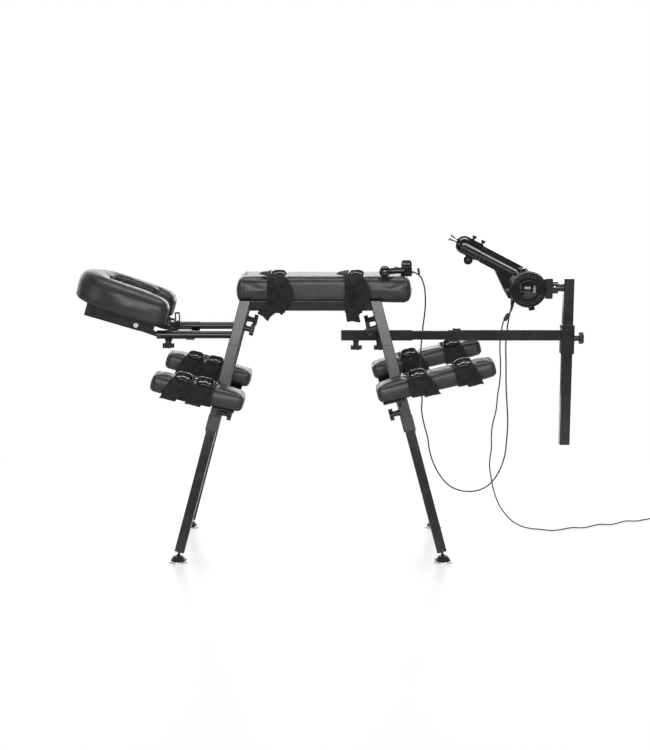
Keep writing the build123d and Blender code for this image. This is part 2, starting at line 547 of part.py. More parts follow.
PIN_NECK_X, PIN_END_X = 665.0, 630.0
with BuildPart() as post:
    square_tube(Plane(origin=(POST_X, 0, POST_LOW_Z)), POST_SIZE, POST_SIZE - 4, POST_TOP_Z - POST_LOW_Z - 4)
    with BuildSketch(Plane(origin=(POST_X, 0, POST_TOP_Z - 4))) as cap:
        RectangleRounded(POST_SIZE, POST_SIZE, CORNER)
    extrude(cap.sketch, amount=4)
    swivel = Plane(origin=(POST_X - POST_SIZE / 2 + 1, 0, MOTOR_Z), x_dir=(0, 1, 0), z_dir=(-1, 0, 0))
    rod(swivel, 11.0, 0, swivel.origin.X - PIN_NECK_X)
    rod(swivel, 8.0, 0, swivel.origin.X - PIN_END_X)
keep(post, "post")

# ---- drive arm ----------------------------------------------------------------------------------------------------
slope = math.radians(ARM_SLOPE)
arm_plane = Plane(origin=(NOSE_X, 0, NOSE_Z), x_dir=(math.sin(slope), 0, math.cos(slope)),
                  z_dir=(math.cos(slope), 0, -math.sin(slope)))
motor_spot = arm_plane.to_local_coords(Vector(MOTOR_X, 0, MOTOR_Z))
MOTOR_S, MOTOR_T = motor_spot.Z, motor_spot.X        # motor centre along the barrel, and across it


def on_arm(s, t):
    """World (x, z) of a point s along the barrel's axis from the nose, and t above it."""
    spot = arm_plane.from_local_coords((t, 0, s))
    return (spot.X, spot.Z)


def upright(y):
    """Upright plane at y: x to +X, y to +Z, normal to -Y."""
    return Plane(origin=(0, y, 0), x_dir=(1, 0, 0), z_dir=(0, -1, 0))


def drum(radius, low_y, high_y, x=MOTOR_X, z=MOTOR_Z, mode=Mode.ADD):
    """A cylinder along Y between two heights, on the motor's axis unless placed elsewhere."""
    with BuildSketch(upright(high_y)) as circle:
        with Locations((x, z)):
            Circle(radius)
    extrude(circle.sketch, amount=high_y - low_y, mode=mode)


def gusset(inset, half, mode):
    """The web between barrel and drum."""
    with BuildSketch(upright(half)) as web:
        with BuildLine():
            Polyline(on_arm(60, BARREL_R - inset - 2), on_arm(188, 21 - inset), (585, 836 - inset),
                     (MOTOR_X, MOTOR_Z), (520 + inset, 753 + inset), (507 + inset, 776 + inset),
                     on_arm(114 + inset, -BARREL_R + inset), on_arm(60, -BARREL_R + inset),
                     on_arm(60, BARREL_R - inset - 2))
        make_face()
    extrude(web.sketch, amount=2 * half, mode=mode)


GLANDS = {"left": -9.0, "right": 14.0}
GLAND_X, GLAND_END_Z = 533.0, 738.8
for hand, side in SIDES.items():
    with BuildPart() as shell:
        rod(arm_plane, BARREL_R, 20, 205)
        drum(MOTOR_R - 2, -SHELL_HALF, SHELL_HALF)
        gusset(0, SHELL_HALF - 4, Mode.ADD)
        rod(arm_plane, BARREL_R - SHELL_WALL, 19, 215, Mode.SUBTRACT)
        drum(MOTOR_R - 2 - SHELL_WALL, -SHELL_HALF + SHELL_WALL, SHELL_HALF - SHELL_WALL, mode=Mode.SUBTRACT)
        gusset(SHELL_WALL, SHELL_HALF - 4 - SHELL_WALL, Mode.SUBTRACT)
        drum(46, -SHELL_HALF - 1, -SHELL_HALF + SHELL_WALL + 1, mode=Mode.SUBTRACT)
        drum(10 + FIT, SHELL_HALF - SHELL_WALL - 1, SHELL_HALF + 1, mode=Mode.SUBTRACT)
        with BuildSketch(Plane(origin=(GLAND_X, GLANDS[hand], GLAND_END_Z))) as gland:
            Circle(4.5)
        extrude(gland.sketch, amount=14)
        split(bisect_by=Plane.XZ, keep=Keep.TOP if side < 0 else Keep.BOTTOM)
    keep(shell, f"drive_shell_{hand}")

with BuildPart() as nose_cap:
    with Locations((NOSE_X, 0, NOSE_Z)):
        Sphere(NOSE_R)
    rod(arm_plane, NOSE_R, 0, 48)
    lug_x, lug_z = on_arm(30, -34)
    drum(14, -6, 6, lug_x, lug_z)
    rod(arm_plane, BARREL_R, 20, 49, Mode.SUBTRACT)
    rod(arm_plane, BARREL_R - SHELL_WALL, -6, 21, Mode.SUBTRACT)
    rod(arm_plane, 9.0, -NOSE_R - 1, 0, Mode.SUBTRACT)
    drum(3.0, -7, 7, lug_x, lug_z, Mode.SUBTRACT)
keep(nose_cap, "nose_cap")

with BuildPart() as rod_bushings:
    rod(arm_plane, 9.0, -NOSE_R + 2, -6)
    rod(arm_plane, BARREL_R - SHELL_WALL, 110, 122)
    rod(arm_plane, ROD_R + FIT, -NOSE_R, 125, Mode.SUBTRACT)
keep(rod_bushings, "rod_bushings")

with BuildPart() as motor_cover:
    drum(MOTOR_R, COVER_OUT_Y, -SHELL_HALF)
    fillet(motor_cover.faces().sort_by(Axis.Y)[0].edges(), 4)
    for angle in (107, 192, 282):
        spot = (MOTOR_X + 56 * math.cos(math.radians(angle)), MOTOR_Z + 56 * math.sin(math.radians(angle)))
        with BuildSketch(upright(-SHELL_HALF - 3)) as clip:
            with Locations(Location((spot[0], spot[1]), angle)):
                Rectangle(14, 16)
        extrude(clip.sketch, amount=16)
    drum(MOTOR_R - 10, COVER_OUT_Y - 1, COVER_OUT_Y + 2, mode=Mode.SUBTRACT)
    drum(MOTOR_R - 16, COVER_OUT_Y, COVER_OUT_Y + 3)
    drum(MOTOR_R - 4, COVER_OUT_Y + 4, -SHELL_HALF + 1, mode=Mode.SUBTRACT)
    # domed cap over the end of the motor
    dome_r, dome_rise = 25.0, COVER_OUT_Y - DOME_OUT_Y
    ball = (dome_r ** 2 + dome_rise ** 2) / (2 * dome_rise)
    with BuildSketch(Plane(origin=(MOTOR_X, 0, MOTOR_Z), x_dir=(1, 0, 0), z_dir=(0, 0, 1))) as cap:
        with BuildLine():
            Line((0, COVER_OUT_Y + 1), (dome_r, COVER_OUT_Y + 1))
            Line((dome_r, COVER_OUT_Y + 1), (dome_r, COVER_OUT_Y))
            RadiusArc((dome_r, COVER_OUT_Y), (0, DOME_OUT_Y), ball)
            Line((0, DOME_OUT_Y), (0, COVER_OUT_Y + 1))
        make_face()
    revolve(cap.sketch, axis=Axis((MOTOR_X, 0, MOTOR_Z), (0, 1, 0)))
keep(motor_cover, "motor_cover")

CRANK_Y = (-14.0, -8.0)
with BuildPart() as gear_motor:
    drum(34, COVER_OUT_Y + 4, CRANK_Y[0] - 2)
    drum(4 + FIT, -34, CRANK_Y[0] - 1, mode=Mode.SUBTRACT)
keep(gear_motor, "gear_motor")

rest = math.radians(CRANK_REST)
pin_s, pin_t = MOTOR_S + CRANK_R * math.sin(rest), MOTOR_T + CRANK_R * math.cos(rest)
with BuildPart() as crank:
    drum(31, *CRANK_Y)
    drum(4, -32, CRANK_Y[0] + 1)
    pin_x, pin_z = on_arm(pin_s, pin_t)
    drum(CRANK_PIN_R, CRANK_Y[1] - 1, 5, pin_x, pin_z)
keep(crank, "crank")

with BuildPart() as drive_rod:
    rod(arm_plane, ROD_R, COUPLER_S, pin_s - 8)
    slot_low, slot_high = MOTOR_T - CRANK_R - CRANK_PIN_R - 1, MOTOR_T + CRANK_R + CRANK_PIN_R + 1
    with BuildSketch(upright(4)) as yoke:
        with BuildLine():
            Polyline(on_arm(pin_s - 9, slot_low - 3), on_arm(pin_s + 9, slot_low - 3),
                     on_arm(pin_s + 9, slot_high + 5), on_arm(pin_s - 9, slot_high + 5),
                     on_arm(pin_s - 9, slot_low - 3))
        make_face()
    extrude(yoke.sketch, amount=8)
    reach = CRANK_PIN_R + CRANK_SLACK
    with BuildSketch(upright(5)) as slot:
        with BuildLine():
            Polyline(on_arm(pin_s - reach, slot_low), on_arm(pin_s + reach, slot_low),
                     on_arm(pin_s + reach, slot_high), on_arm(pin_s - reach, slot_high),
                     on_arm(pin_s - reach, slot_low))
        make_face()
    extrude(slot.sketch, amount=10, mode=Mode.SUBTRACT)
keep(drive_rod, "drive_rod")

with BuildPart() as rod_coupler:
    rod(arm_plane, 8.0, COUPLER_S, -NOSE_R - 9)
    rod(arm_plane, COUPLER_R, COUPLER_S - 5, COUPLER_S)
    rod(arm_plane, ROD_R, COUPLER_S, 0, Mode.SUBTRACT)
keep(rod_coupler, "rod_coupler")

with BuildPart() as drive_yoke:
    with Locations(((626 + 648) / 2, 8, MOTOR_Z - 1)):
        Box(22, 52, 60)
    fillet(drive_yoke.edges().filter_by(Axis.Y), 3)
    with Locations(((MOTOR_X + 640) / 2, 30, MOTOR_Z)):
        Box(640 - MOTOR_X, 8, 44)
    drum(22, 26, 34)
    drum(10, 18, 27)
    rod(swivel, 17.5, swivel.origin.X - PIN_NECK_X + GAP, swivel.origin.X - 646)
    rod(swivel, 8 + FIT, 0, swivel.origin.X - PIN_END_X + GAP, Mode.SUBTRACT)
keep(drive_yoke, "drive_yoke")

# ---- hand control -------------------------------------------------------------------------------------------------
BALL_SPOT, HEAD_SPOT = Vector(150, -86, 841), Vector(215, -42, 841)
HEAD_TOP_Z, DIAL_TOP_Z, CONTROL_LOW_Z = 850.5, 871.0, 823.6
BALL_OF_GRIP_R, NECK_R, HEAD_R = 17.0, 9.2, 17.3
with BuildPart() as control_body:
    with Locations(BALL_SPOT):
        Sphere(BALL_OF_GRIP_R)
    along = (HEAD_SPOT - BALL_SPOT).normalized()
    rod(Plane(origin=BALL_SPOT, z_dir=along), NECK_R, 8, (HEAD_SPOT - BALL_SPOT).length - 6)
    rod(Plane(origin=(HEAD_SPOT.X, HEAD_SPOT.Y, CONTROL_LOW_Z)), HEAD_R, 0, HEAD_TOP_Z - CONTROL_LOW_Z)
    with BuildSketch(Plane(origin=(236, -38, 834), x_dir=(0, 1, 0), z_dir=(-1, 0, 0))) as exit_ring:
        Circle(4)
    extrude(exit_ring.sketch, amount=12)
    button_spot = BALL_SPOT + along * 40
    rod(Plane(origin=(button_spot.X, button_spot.Y, button_spot.Z)), 5.0 + FIT, 4, 20, Mode.SUBTRACT)
keep(control_body, "control_body")

with BuildPart() as control_button:
    rod(Plane(origin=(button_spot.X, button_spot.Y, button_spot.Z)), 5.0, 6, 11.5)
keep(control_button, "control_button")

with BuildPart() as control_dial:
    rod(Plane(origin=(HEAD_SPOT.X, HEAD_SPOT.Y, HEAD_TOP_Z + GAP)), 16.0, 0, DIAL_TOP_Z - HEAD_TOP_Z)
    fillet(control_dial.faces().sort_by(Axis.Z)[-1].edges(), 9)
keep(control_dial, "control_dial")

# ---- cables -------------------------------------------------------------------------------------------------------
CONTROL_ROUTE = [
    (236, -38, 834), (250, -37, 829), (263, -33, 812), (271, -26, 782), (274, -14, 742), (273, 4, 704),
    (269, 24, 662), (266, 38, 612), (264, 47, 556), (268, 49, 498), (272, 47, 448), (269, 45, 404), (278, 43, 361),
    (290, 43, 322), (295, 43, 278), (310, 44, 234), (333, 45, 194), (364, 46, 163), (407, 47, 150), (452, 47, 154),
    (487, 45, 178), (512, 43, 219), (526, 42, 264), (530, 42, 314), (533, 43, 370), (528, 43, 430), (524, 43, 490),
    (523, 43, 548), (520, 41, 604), (522, 35, 655), (527, 25, 698), (531, 16, 722), (533, 14, 738),
]
POWER_ROUTE = [
    (533, -9, 738), (532, -7, 723), (526, -1, 711), (517, 8, 698), (508, 18, 680), (503, 27, 645), (501, 31, 598),
    (506, 33, 548), (505, 36, 496), (498, 38, 450), (497, 41, 408), (486, 44, 364), (483, 47, 326), (486, 51, 284),
    (479, 57, 238), (487, 64, 192), (497, 74, 148), (512, 90, 106), (535, 112, 67), (562, 135, 34), (592, 152, 12),
    (624, 156, 2.2), (657, 148, 2.2), (692, 132, 2.2), (727, 148, 2.2), (759, 171, 2.2), (791, 162, 2.2),
    (823, 184, 2.2), (854, 209, 2.2), (888, 198, 2.2), (919, 224, 2.2), (948, 248, 2.2), (980, 240, 2.2),
    (1005, 258, 2.2), (1021, 266, 2.2), (COIL_X - COIL_R - COIL_SECTION / 2, COIL_Y, 2.2),
]


def cable(route, diameter, name):
    """A cable's outer shape: straight runs joined by tangent arcs as large as the runs allow."""
    points = [Vector(*point) for point in route]
    radii = []
    for before, here, after in zip(points, points[1:], points[2:]):
        turn = math.radians((here - before).get_angle(after - here))
        shorter = min((here - before).length, (after - here).length)
        radii.append(0.45 * shorter / math.tan(turn / 2))
    with BuildPart() as tube:
        with BuildLine() as path:
            FilletPolyline(*points, radius=radii)
        with BuildSketch(Plane(origin=points[0], z_dir=points[1] - points[0])) as section:
            Circle(diameter / 2)
        run = path.wire()
        sweep(section.sketch, path=run)
    ratio = tube.part.volume / (run.length * math.pi * diameter ** 2 / 4)
    print(name, "length", round(run.length), "least bend radius", round(min(radii)), "volume ratio",
          round(ratio, 4), "radii", [round(radius) for radius in radii])
    keep(tube, name)


cable(CONTROL_ROUTE, CONTROL_CABLE, "control_cable")
cable(POWER_ROUTE, POWER_CABLE, "power_cable")

with BuildPart() as inline_connector:
    start, stop = Vector(*POWER_ROUTE[2]), Vector(*POWER_ROUTE[4])
    middle = (start + stop) * 0.5
    rod(Plane(origin=middle, z_dir=stop - start), 6.5, -11, 11)
keep(inline_connector, "inline_connector")

with BuildPart() as cable_coil:
    with BuildSketch(Plane(origin=(COIL_X, COIL_Y, 0))) as ring:
        Circle(COIL_R + COIL_SECTION / 2)
        Circle(COIL_R - COIL_SECTION / 2, mode=Mode.SUBTRACT)
    extrude(ring.sketch, amount=COIL_SECTION)
keep(cable_coil, "cable_coil")

ADAPTER_X, ADAPTER_Y = COIL_X + COIL_R, COIL_Y - 18.0
with BuildPart() as power_adapter:
    rod(Plane(origin=(ADAPTER_X, ADAPTER_Y, 6.4), x_dir=(1, 0, 0), z_dir=(0, -1, 0)), 3.2, 0, 12)
    with Locations((ADAPTER_X, ADAPTER_Y - 11 - 17, 12)):
        Box(28, 34, 24)
    fillet(power_adapter.edges().filter_by(Axis.Z), 4)
    for step in (-6.5, 6.5):
        with Locations((ADAPTER_X + step, ADAPTER_Y - 45 - 8, 12)):
            Box(1.6, 18, 6.4)
keep(power_adapter, "power_adapter")
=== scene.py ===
import itertools
import json
import math

import bmesh
import bpy
from mathutils import Matrix, Vector, noise


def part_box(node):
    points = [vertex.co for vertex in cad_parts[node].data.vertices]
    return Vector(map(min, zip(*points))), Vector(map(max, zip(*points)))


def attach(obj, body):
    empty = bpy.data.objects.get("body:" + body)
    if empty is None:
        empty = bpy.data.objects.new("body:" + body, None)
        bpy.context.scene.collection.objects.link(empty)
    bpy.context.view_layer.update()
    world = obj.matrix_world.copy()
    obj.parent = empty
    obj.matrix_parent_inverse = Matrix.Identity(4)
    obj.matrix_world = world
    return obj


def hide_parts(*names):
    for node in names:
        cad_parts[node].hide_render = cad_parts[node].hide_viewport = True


# Looks of the padded restraint bench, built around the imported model, in its frame: metres, +Z up.
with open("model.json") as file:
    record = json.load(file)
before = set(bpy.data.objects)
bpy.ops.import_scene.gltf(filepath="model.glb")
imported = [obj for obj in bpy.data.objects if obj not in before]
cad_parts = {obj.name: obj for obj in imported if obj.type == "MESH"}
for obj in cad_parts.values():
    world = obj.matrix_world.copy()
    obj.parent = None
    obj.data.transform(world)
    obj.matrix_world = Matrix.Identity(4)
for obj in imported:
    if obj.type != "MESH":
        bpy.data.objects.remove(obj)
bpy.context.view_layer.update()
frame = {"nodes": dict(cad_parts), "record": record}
scene = bpy.context.scene
MM = 0.001


# ---- camera ----------------------------------------------------------------------------------------------
CAMERA_SPOT, CAMERA_PITCH, CAMERA_LENS = (-0.023, -4.155, 1.245), 9.87, 67.73
camera = bpy.data.objects.new("camera", bpy.data.cameras.new("camera"))
camera.location = CAMERA_SPOT
camera.rotation_euler = (math.radians(90 - CAMERA_PITCH), 0, 0)
camera.data.lens = CAMERA_LENS
scene.collection.objects.link(camera)
scene.camera = camera


# ---- materials -------------------------------------------------------------------------------------------
class Finish:
    """A Principled material with short helpers for its procedural detail."""

    def __init__(self, name, roughness, metallic=0.0, specular=0.5):
        self.material = bpy.data.materials.new(name)
        self.material.use_nodes = True
        self.nodes, self.links = self.material.node_tree.nodes, self.material.node_tree.links
        self.shader = self.nodes["Principled BSDF"]
        self.shader.inputs["Roughness"].default_value = roughness
        self.shader.inputs["Metallic"].default_value = metallic
        self.shader.inputs["Specular IOR Level"].default_value = specular
        self.place = self.nodes.new("ShaderNodeTexCoord").outputs["Object"]

    def node(self, kind, **values):
        made = self.nodes.new(kind)
        for name, value in values.items():
            made.inputs[name.replace("_", " ")].default_value = value
        return made

    def noise(self, scale, detail=3.0, stretch=None):
        place = self.place
        if stretch:
            mapping = self.nodes.new("ShaderNodeMapping")
            mapping.inputs["Scale"].default_value = stretch
            self.links.new(place, mapping.inputs["Vector"])
            place = mapping.outputs["Vector"]
        made = self.node("ShaderNodeTexNoise", Scale=scale, Detail=detail)
        self.links.new(place, made.inputs["Vector"])
        return made.outputs["Fac"]

    def ramp(self, factor, *stops):
        made = self.nodes.new("ShaderNodeValToRGB")
        for element, (position, colour) in zip(made.color_ramp.elements, stops):
            element.position = position
            element.color = (*colour, 1)
        self.links.new(factor, made.inputs["Fac"])
        return made.outputs["Color"]

    def span(self, factor, low, high):
        made = self.node("ShaderNodeMapRange", To_Min=low, To_Max=high)
        self.links.new(factor, made.inputs["Value"])
        return made.outputs["Result"]

    def colour(self, factor, dark, light, low=0.35, high=0.7):
        self.links.new(self.ramp(factor, (low, dark), (high, light)), self.shader.inputs["Base Color"])

    def rough(self, factor, low, high):
        self.links.new(self.span(factor, low, high), self.shader.inputs["Roughness"])

    def bump(self, *heights, strength=0.3, distance=0.0002):
        normal = None
        for height in heights:
            made = self.node("ShaderNodeBump", Strength=strength, Distance=distance)
            self.links.new(height, made.inputs["Height"])
            if normal:
                self.links.new(normal, made.inputs["Normal"])
            normal = made.outputs["Normal"]
        self.links.new(normal, self.shader.inputs["Normal"])


def grey(value, warm=0.0):
    return (value + warm, value, value - warm)


def powder_coat(name, dark, light, roughness, specular=0.35):
    """Painted steel: a fine orange peel, and paint a little uneven in gloss."""
    finish = Finish(name, roughness, specular=specular)
    finish.colour(finish.noise(14), grey(dark), grey(light))
    finish.rough(finish.noise(40, 4), roughness - 0.06, roughness + 0.1)
    finish.bump(finish.noise(650, 2), finish.noise(90, 3), strength=0.15, distance=0.0001)
    return finish.material


def leatherette():
    """Coated fabric with a pebbled grain, soft sheen and slightly polished high spots."""
    finish = Finish("leatherette", 0.42, specular=0.45)
    pebble = finish.node("ShaderNodeTexVoronoi", Scale=620.0)
    finish.links.new(finish.place, pebble.inputs["Vector"])
    finish.colour(finish.noise(26, 4), grey(0.012), grey(0.022, 0.0006))
    finish.rough(finish.noise(60, 4), 0.32, 0.48)
    grain, folds = finish.noise(1500, 2), finish.noise(34, 3)
    finish.bump(pebble.outputs["Distance"], grain, folds, strength=0.2, distance=0.0003)
    finish.shader.inputs["Sheen Weight"].default_value = 0.03
    finish.shader.inputs["Sheen Roughness"].default_value = 0.4
    return finish.material


def webbing():
    """Woven nylon: ribs along and across the band, with fuzz."""
    finish = Finish("webbing", 0.85, specular=0.15)
    heights = []
    for direction in ("X", "Y"):
        wave = finish.nodes.new("ShaderNodeTexWave")
        wave.bands_direction = direction
        wave.inputs["Scale"].default_value = 210.0
        wave.inputs["Distortion"].default_value = 0.6
        finish.links.new(finish.place, wave.inputs["Vector"])
        heights.append(wave.outputs["Fac"])
    finish.colour(finish.noise(70, 4), grey(0.011, 0.0005), grey(0.021, 0.001))
    finish.rough(finish.noise(300, 2), 0.75, 0.95)
    finish.bump(*heights, finish.noise(900, 2), strength=0.35, distance=0.0003)
    finish.shader.inputs["Sheen Weight"].default_value = 0.05
    finish.shader.inputs["Sheen Roughness"].default_value = 0.5
    return finish.material


def moulded(name, value, roughness, coat=0.0, specular=0.5):
    """Moulded plastic: spark-eroded texture, or a polished skin with faint wipe marks."""
    finish = Finish(name, roughness, specular=specular)
    finish.colour(finish.noise(18), grey(value * 0.8), grey(value * 1.25))
    finish.rough(finish.noise(55, 5, (1, 1, 4)), roughness * 0.8, roughness * 1.3)
    finish.bump(finish.noise(1100 if roughness > 0.3 else 120, 2), strength=0.15, distance=0.0001)
    finish.shader.inputs["Coat Weight"].default_value = coat
    finish.shader.inputs["Coat Roughness"].default_value = 0.06
    return finish.material


def metal(name, tone, roughness, stretch):
    """Bare or plated metal, with fine marks drawn out in one direction."""
    finish = Finish(name, roughness, metallic=1.0)
    marks = finish.noise(300, 3, stretch)
    finish.colour(marks, tuple(c * 0.85 for c in tone), tone)
    finish.rough(marks, roughness * 0.8, roughness * 1.4)
    finish.bump(marks, strength=0.1, distance=0.00005)
    return finish.material


def plywood():
    """Black-stained plywood, grain along the bench."""
    finish = Finish("plywood", 0.7, specular=0.3)
    finish.colour(finish.noise(40, 5, (0.3, 4, 6)), (0.016, 0.012, 0.009), (0.034, 0.027, 0.02))
    finish.bump(finish.noise(160, 4, (0.2, 4, 4)), strength=0.4, distance=0.0003)
    return finish.material


RIM_HEIGHT = 0.0054      # where a foot's plated rim ends and its dome begins


def foot_finish():
    """Levelling foot: bright plated rim below, black moulded dome above."""
    finish = Finish("foot_finish", 0.4)
    split = finish.nodes.new("ShaderNodeSeparateXYZ")
    finish.links.new(finish.place, split.inputs["Vector"])
    above = finish.nodes.new("ShaderNodeMath")
    above.operation = "GREATER_THAN"
    above.inputs[1].default_value = RIM_HEIGHT
    finish.links.new(split.outputs["Z"], above.inputs[0])
    finish.colour(above.outputs["Value"], grey(0.72), grey(0.014), 0.4, 0.6)
    finish.links.new(finish.span(above.outputs["Value"], 0.85, 0.0), finish.shader.inputs["Metallic"])
    finish.links.new(finish.span(above.outputs["Value"], 0.22, 0.35), finish.shader.inputs["Roughness"])
    finish.bump(finish.noise(700, 2), strength=0.12, distance=0.0001)
    return finish.material


LOOKS = {
    "black_powder_coat": powder_coat("powder_coat", 0.006, 0.010, 0.22, 0.5),
    "black_gloss_coat": powder_coat("gloss_coat", 0.005, 0.008, 0.20, 0.5),
    "black_leatherette": leatherette(),
    "black_nylon": webbing(),
    "gloss_black": moulded("gloss_plastic", 0.006, 0.13, 0.4),
    "black_plastic": moulded("matte_plastic", 0.010, 0.42),
    "grey_plastic": moulded("grey_plastic", 0.16, 0.35),
    "black_cable": moulded("cable_jacket", 0.012, 0.38),
    "foot_rubber": foot_finish(),
    "plywood": plywood(),
    "zinc": metal("zinc_plate", (0.66, 0.66, 0.68), 0.28, (1, 6, 1)),
    "chrome": metal("chrome_plate", (0.5, 0.5, 0.52), 0.12, (1, 6, 1)),
    "motor_steel": metal("motor_steel", (0.5, 0.5, 0.52), 0.35, (6, 1, 6)),
    "bronze": metal("bronze", (0.62, 0.42, 0.2), 0.35, (1, 1, 1)),
}
THREAD = moulded("seam_thread", 0.03, 0.7)
SEAM_DARK = moulded("seam_welt", 0.008, 0.45)
WINDOW = moulded("grey_window", 0.22, 0.2, 0.3)


def paint(piece, look):
    """Give a piece one look: a slot's name, or a material of its own."""
    piece.data.materials.clear()
    piece.data.materials.append(LOOKS[look] if isinstance(look, str) else look)


slot_of = {entry["node"]: entry["material_slot"] for entry in frame["record"]["subparts"]}
for node, piece in frame["nodes"].items():
    paint(piece, slot_of[node])


# ---- building helpers ------------------------------------------------------------------------------------
def place(piece, body, slot, look=None, matrix=None):
    """Link a new piece, paint it and let it ride on its body."""
    if piece.name not in scene.collection.objects:
        scene.collection.objects.link(piece)
    if matrix:
        piece.matrix_world = matrix
    paint(piece, look or slot)
    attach(piece, body)
    return piece


def mesh_piece(name, bm, smooth=True):
    mesh = bpy.data.meshes.new(name)
    bmesh.ops.recalc_face_normals(bm, faces=bm.faces[:])
    bm.to_mesh(mesh)
    bm.free()
    for face in mesh.polygons:
        face.use_smooth = smooth
    return bpy.data.objects.new(name, mesh)


def line_piece(name, lines, radius, cyclic=True, sides=2):
    """Thin round lines, such as a seam's welt or its stitches, as one curve object."""
    curve = bpy.data.curves.new(name, "CURVE")
    curve.dimensions = "3D"
    curve.bevel_depth = radius
    curve.bevel_resolution = sides
    curve.use_fill_caps = True
    for line in lines:
        spline = curve.splines.new("POLY")
        spline.points.add(len(line) - 1)
        for point, spot in zip(spline.points, line):
            point.co = (*spot, 1)
        spline.use_cyclic_u = cyclic
    return bpy.data.objects.new(name, curve)


def modifier(piece, kind, **values):
    made = piece.modifiers.new(kind.lower(), kind)
    for name, value in values.items():
        setattr(made, name, value)
    return made


def settle(piece):
    """Turn a piece's modifiers into its own mesh."""
    if piece.name not in scene.collection.objects:
        scene.collection.objects.link(piece)
    bpy.context.view_layer.update()
    seen = piece.evaluated_get(bpy.context.evaluated_depsgraph_get())
    mesh = bpy.data.meshes.new_from_object(seen)
    piece.modifiers.clear()
    old = piece.data
    piece.data = mesh
    bpy.data.meshes.remove(old)
    return piece


def basis(centre, along, up):
    """A matrix whose x runs along, whose z is up, at the centre."""
    x = Vector(along).normalized()
    z = (Vector(up) - x * Vector(up).dot(x)).normalized()
    y = z.cross(x)
    matrix = Matrix((x, y, z)).transposed().to_4x4()
    matrix.translation = Vector(centre)
    return matrix


def lathe(name, profile, sides=48, lobes=0, depth=0.0, lobe_from=0.0):
    """A turned piece about z from (radius, height) pairs; its outside can carry ridges above a radius."""
    bm = bmesh.new()
    rings = []
    for radius, height in profile:
        ring = []
        for i in range(sides):
            turn = 2 * math.pi * i / sides
            ridge = depth * 0.5 * (1 + math.cos(lobes * turn)) if lobes and radius > lobe_from else 0.0
            reach = radius - ridge
            ring.append(bm.verts.new((reach * math.cos(turn), reach * math.sin(turn), height)))
        rings.append(ring)
    for low, high in zip(rings, rings[1:]):
        for i in range(sides):
            bm.faces.new((low[i], low[(i + 1) % sides], high[(i + 1) % sides], high[i]))
    bm.faces.new(rings[0][::-1])
    bm.faces.new(rings[-1])
    return mesh_piece(name, bm)


# ---- cables ----------------------------------------------------------------------------------------------
# The routes are the centre lines of the CAD cables, in millimetres.
CONTROL_ROUTE = [
    (236, -38, 834), (250, -37, 829), (263, -33, 812), (271, -26, 782), (274, -14, 742), (273, 4, 704),
    (269, 24, 662), (266, 38, 612), (264, 47, 556), (268, 49, 498), (272, 47, 448), (269, 45, 404),
    (278, 43, 361), (290, 43, 322), (295, 43, 278), (310, 44, 234), (333, 45, 194), (364, 46, 163),
    (407, 47, 150), (452, 47, 154), (487, 45, 178), (512, 43, 219), (526, 42, 264), (530, 42, 314),
    (533, 43, 370), (528, 43, 430), (524, 43, 490), (523, 43, 548), (520, 41, 604), (522, 35, 655),
    (527, 25, 698), (531, 16, 722), (533, 14, 738),
]
POWER_ROUTE = [
    (533, -9, 738), (532, -7, 723), (526, -1, 711), (517, 8, 698), (508, 18, 680), (503, 27, 645),
    (501, 31, 598), (506, 33, 548), (505, 36, 496), (498, 38, 450), (497, 41, 408), (486, 44, 364),
    (483, 47, 326), (486, 51, 284), (479, 57, 238), (487, 64, 192), (497, 74, 148), (512, 90, 106),
    (535, 112, 67), (562, 135, 34), (592, 152, 12), (624, 156, 2.2), (657, 148, 2.2), (692, 132, 2.2),
    (727, 148, 2.2), (759, 171, 2.2), (791, 162, 2.2), (823, 184, 2.2), (854, 209, 2.2), (888, 198, 2.2),
    (919, 224, 2.2), (948, 248, 2.2), (980, 240, 2.2), (1005, 258, 2.2), (1021, 266, 2.2), (1033, 274, 2.2),
]
CONTROL_DIAMETER, POWER_DIAMETER = 0.0044, 0.004
COIL_CENTRE, COIL_MEAN, COIL_LAYER, COIL_FLOOR = (1062.0, 268.0), 22.0, 4.2, 2.2
COIL_ENTRY, COIL_TURNS, TURN_POINTS = 140.0, 3 + 140.0 / 360, 16


def coil_points():
    """Turns of the put-away cable: two beside each other on the floor, then two on top, wound clockwise."""
    points = []
    count = round(COIL_TURNS * TURN_POINTS)
    for i in range(1, count + 1):
        turned = i / TURN_POINTS
        angle = math.radians(COIL_ENTRY - 360 * turned * COIL_TURNS * TURN_POINTS / count)
        inner = 0.5 - 0.5 * math.cos(math.pi * min(max(turned - 0.75, 0) / 0.5, 1))
        inner -= 0.5 - 0.5 * math.cos(math.pi * min(max(turned - 2.6, 0) / 0.5, 1))
        upper = 0.5 - 0.5 * math.cos(math.pi * min(max(turned - 1.5, 0) / 0.5, 1))
        radius = COIL_MEAN + COIL_LAYER / 2 - COIL_LAYER * inner
        points.append((COIL_CENTRE[0] + radius * math.cos(angle), COIL_CENTRE[1] + radius * math.sin(angle),
                       COIL_FLOOR + COIL_LAYER * upper))
    return points


def cable(name, points, diameter):
    """A cable on a smooth spline with the route's points as its control points."""
    curve = bpy.data.curves.new(name, "CURVE")
    curve.dimensions = "3D"
    curve.resolution_u = 10
    curve.bevel_depth = diameter / 2
    curve.bevel_resolution = 4
    curve.use_fill_caps = True
    spline = curve.splines.new("NURBS")
    spline.points.add(len(points) - 1)
    for point, spot in zip(spline.points, points):
        point.co = (spot[0] * MM, spot[1] * MM, spot[2] * MM, 1)
    spline.order_u = 3
    spline.use_endpoint_u = True
    return bpy.data.objects.new(name, curve)


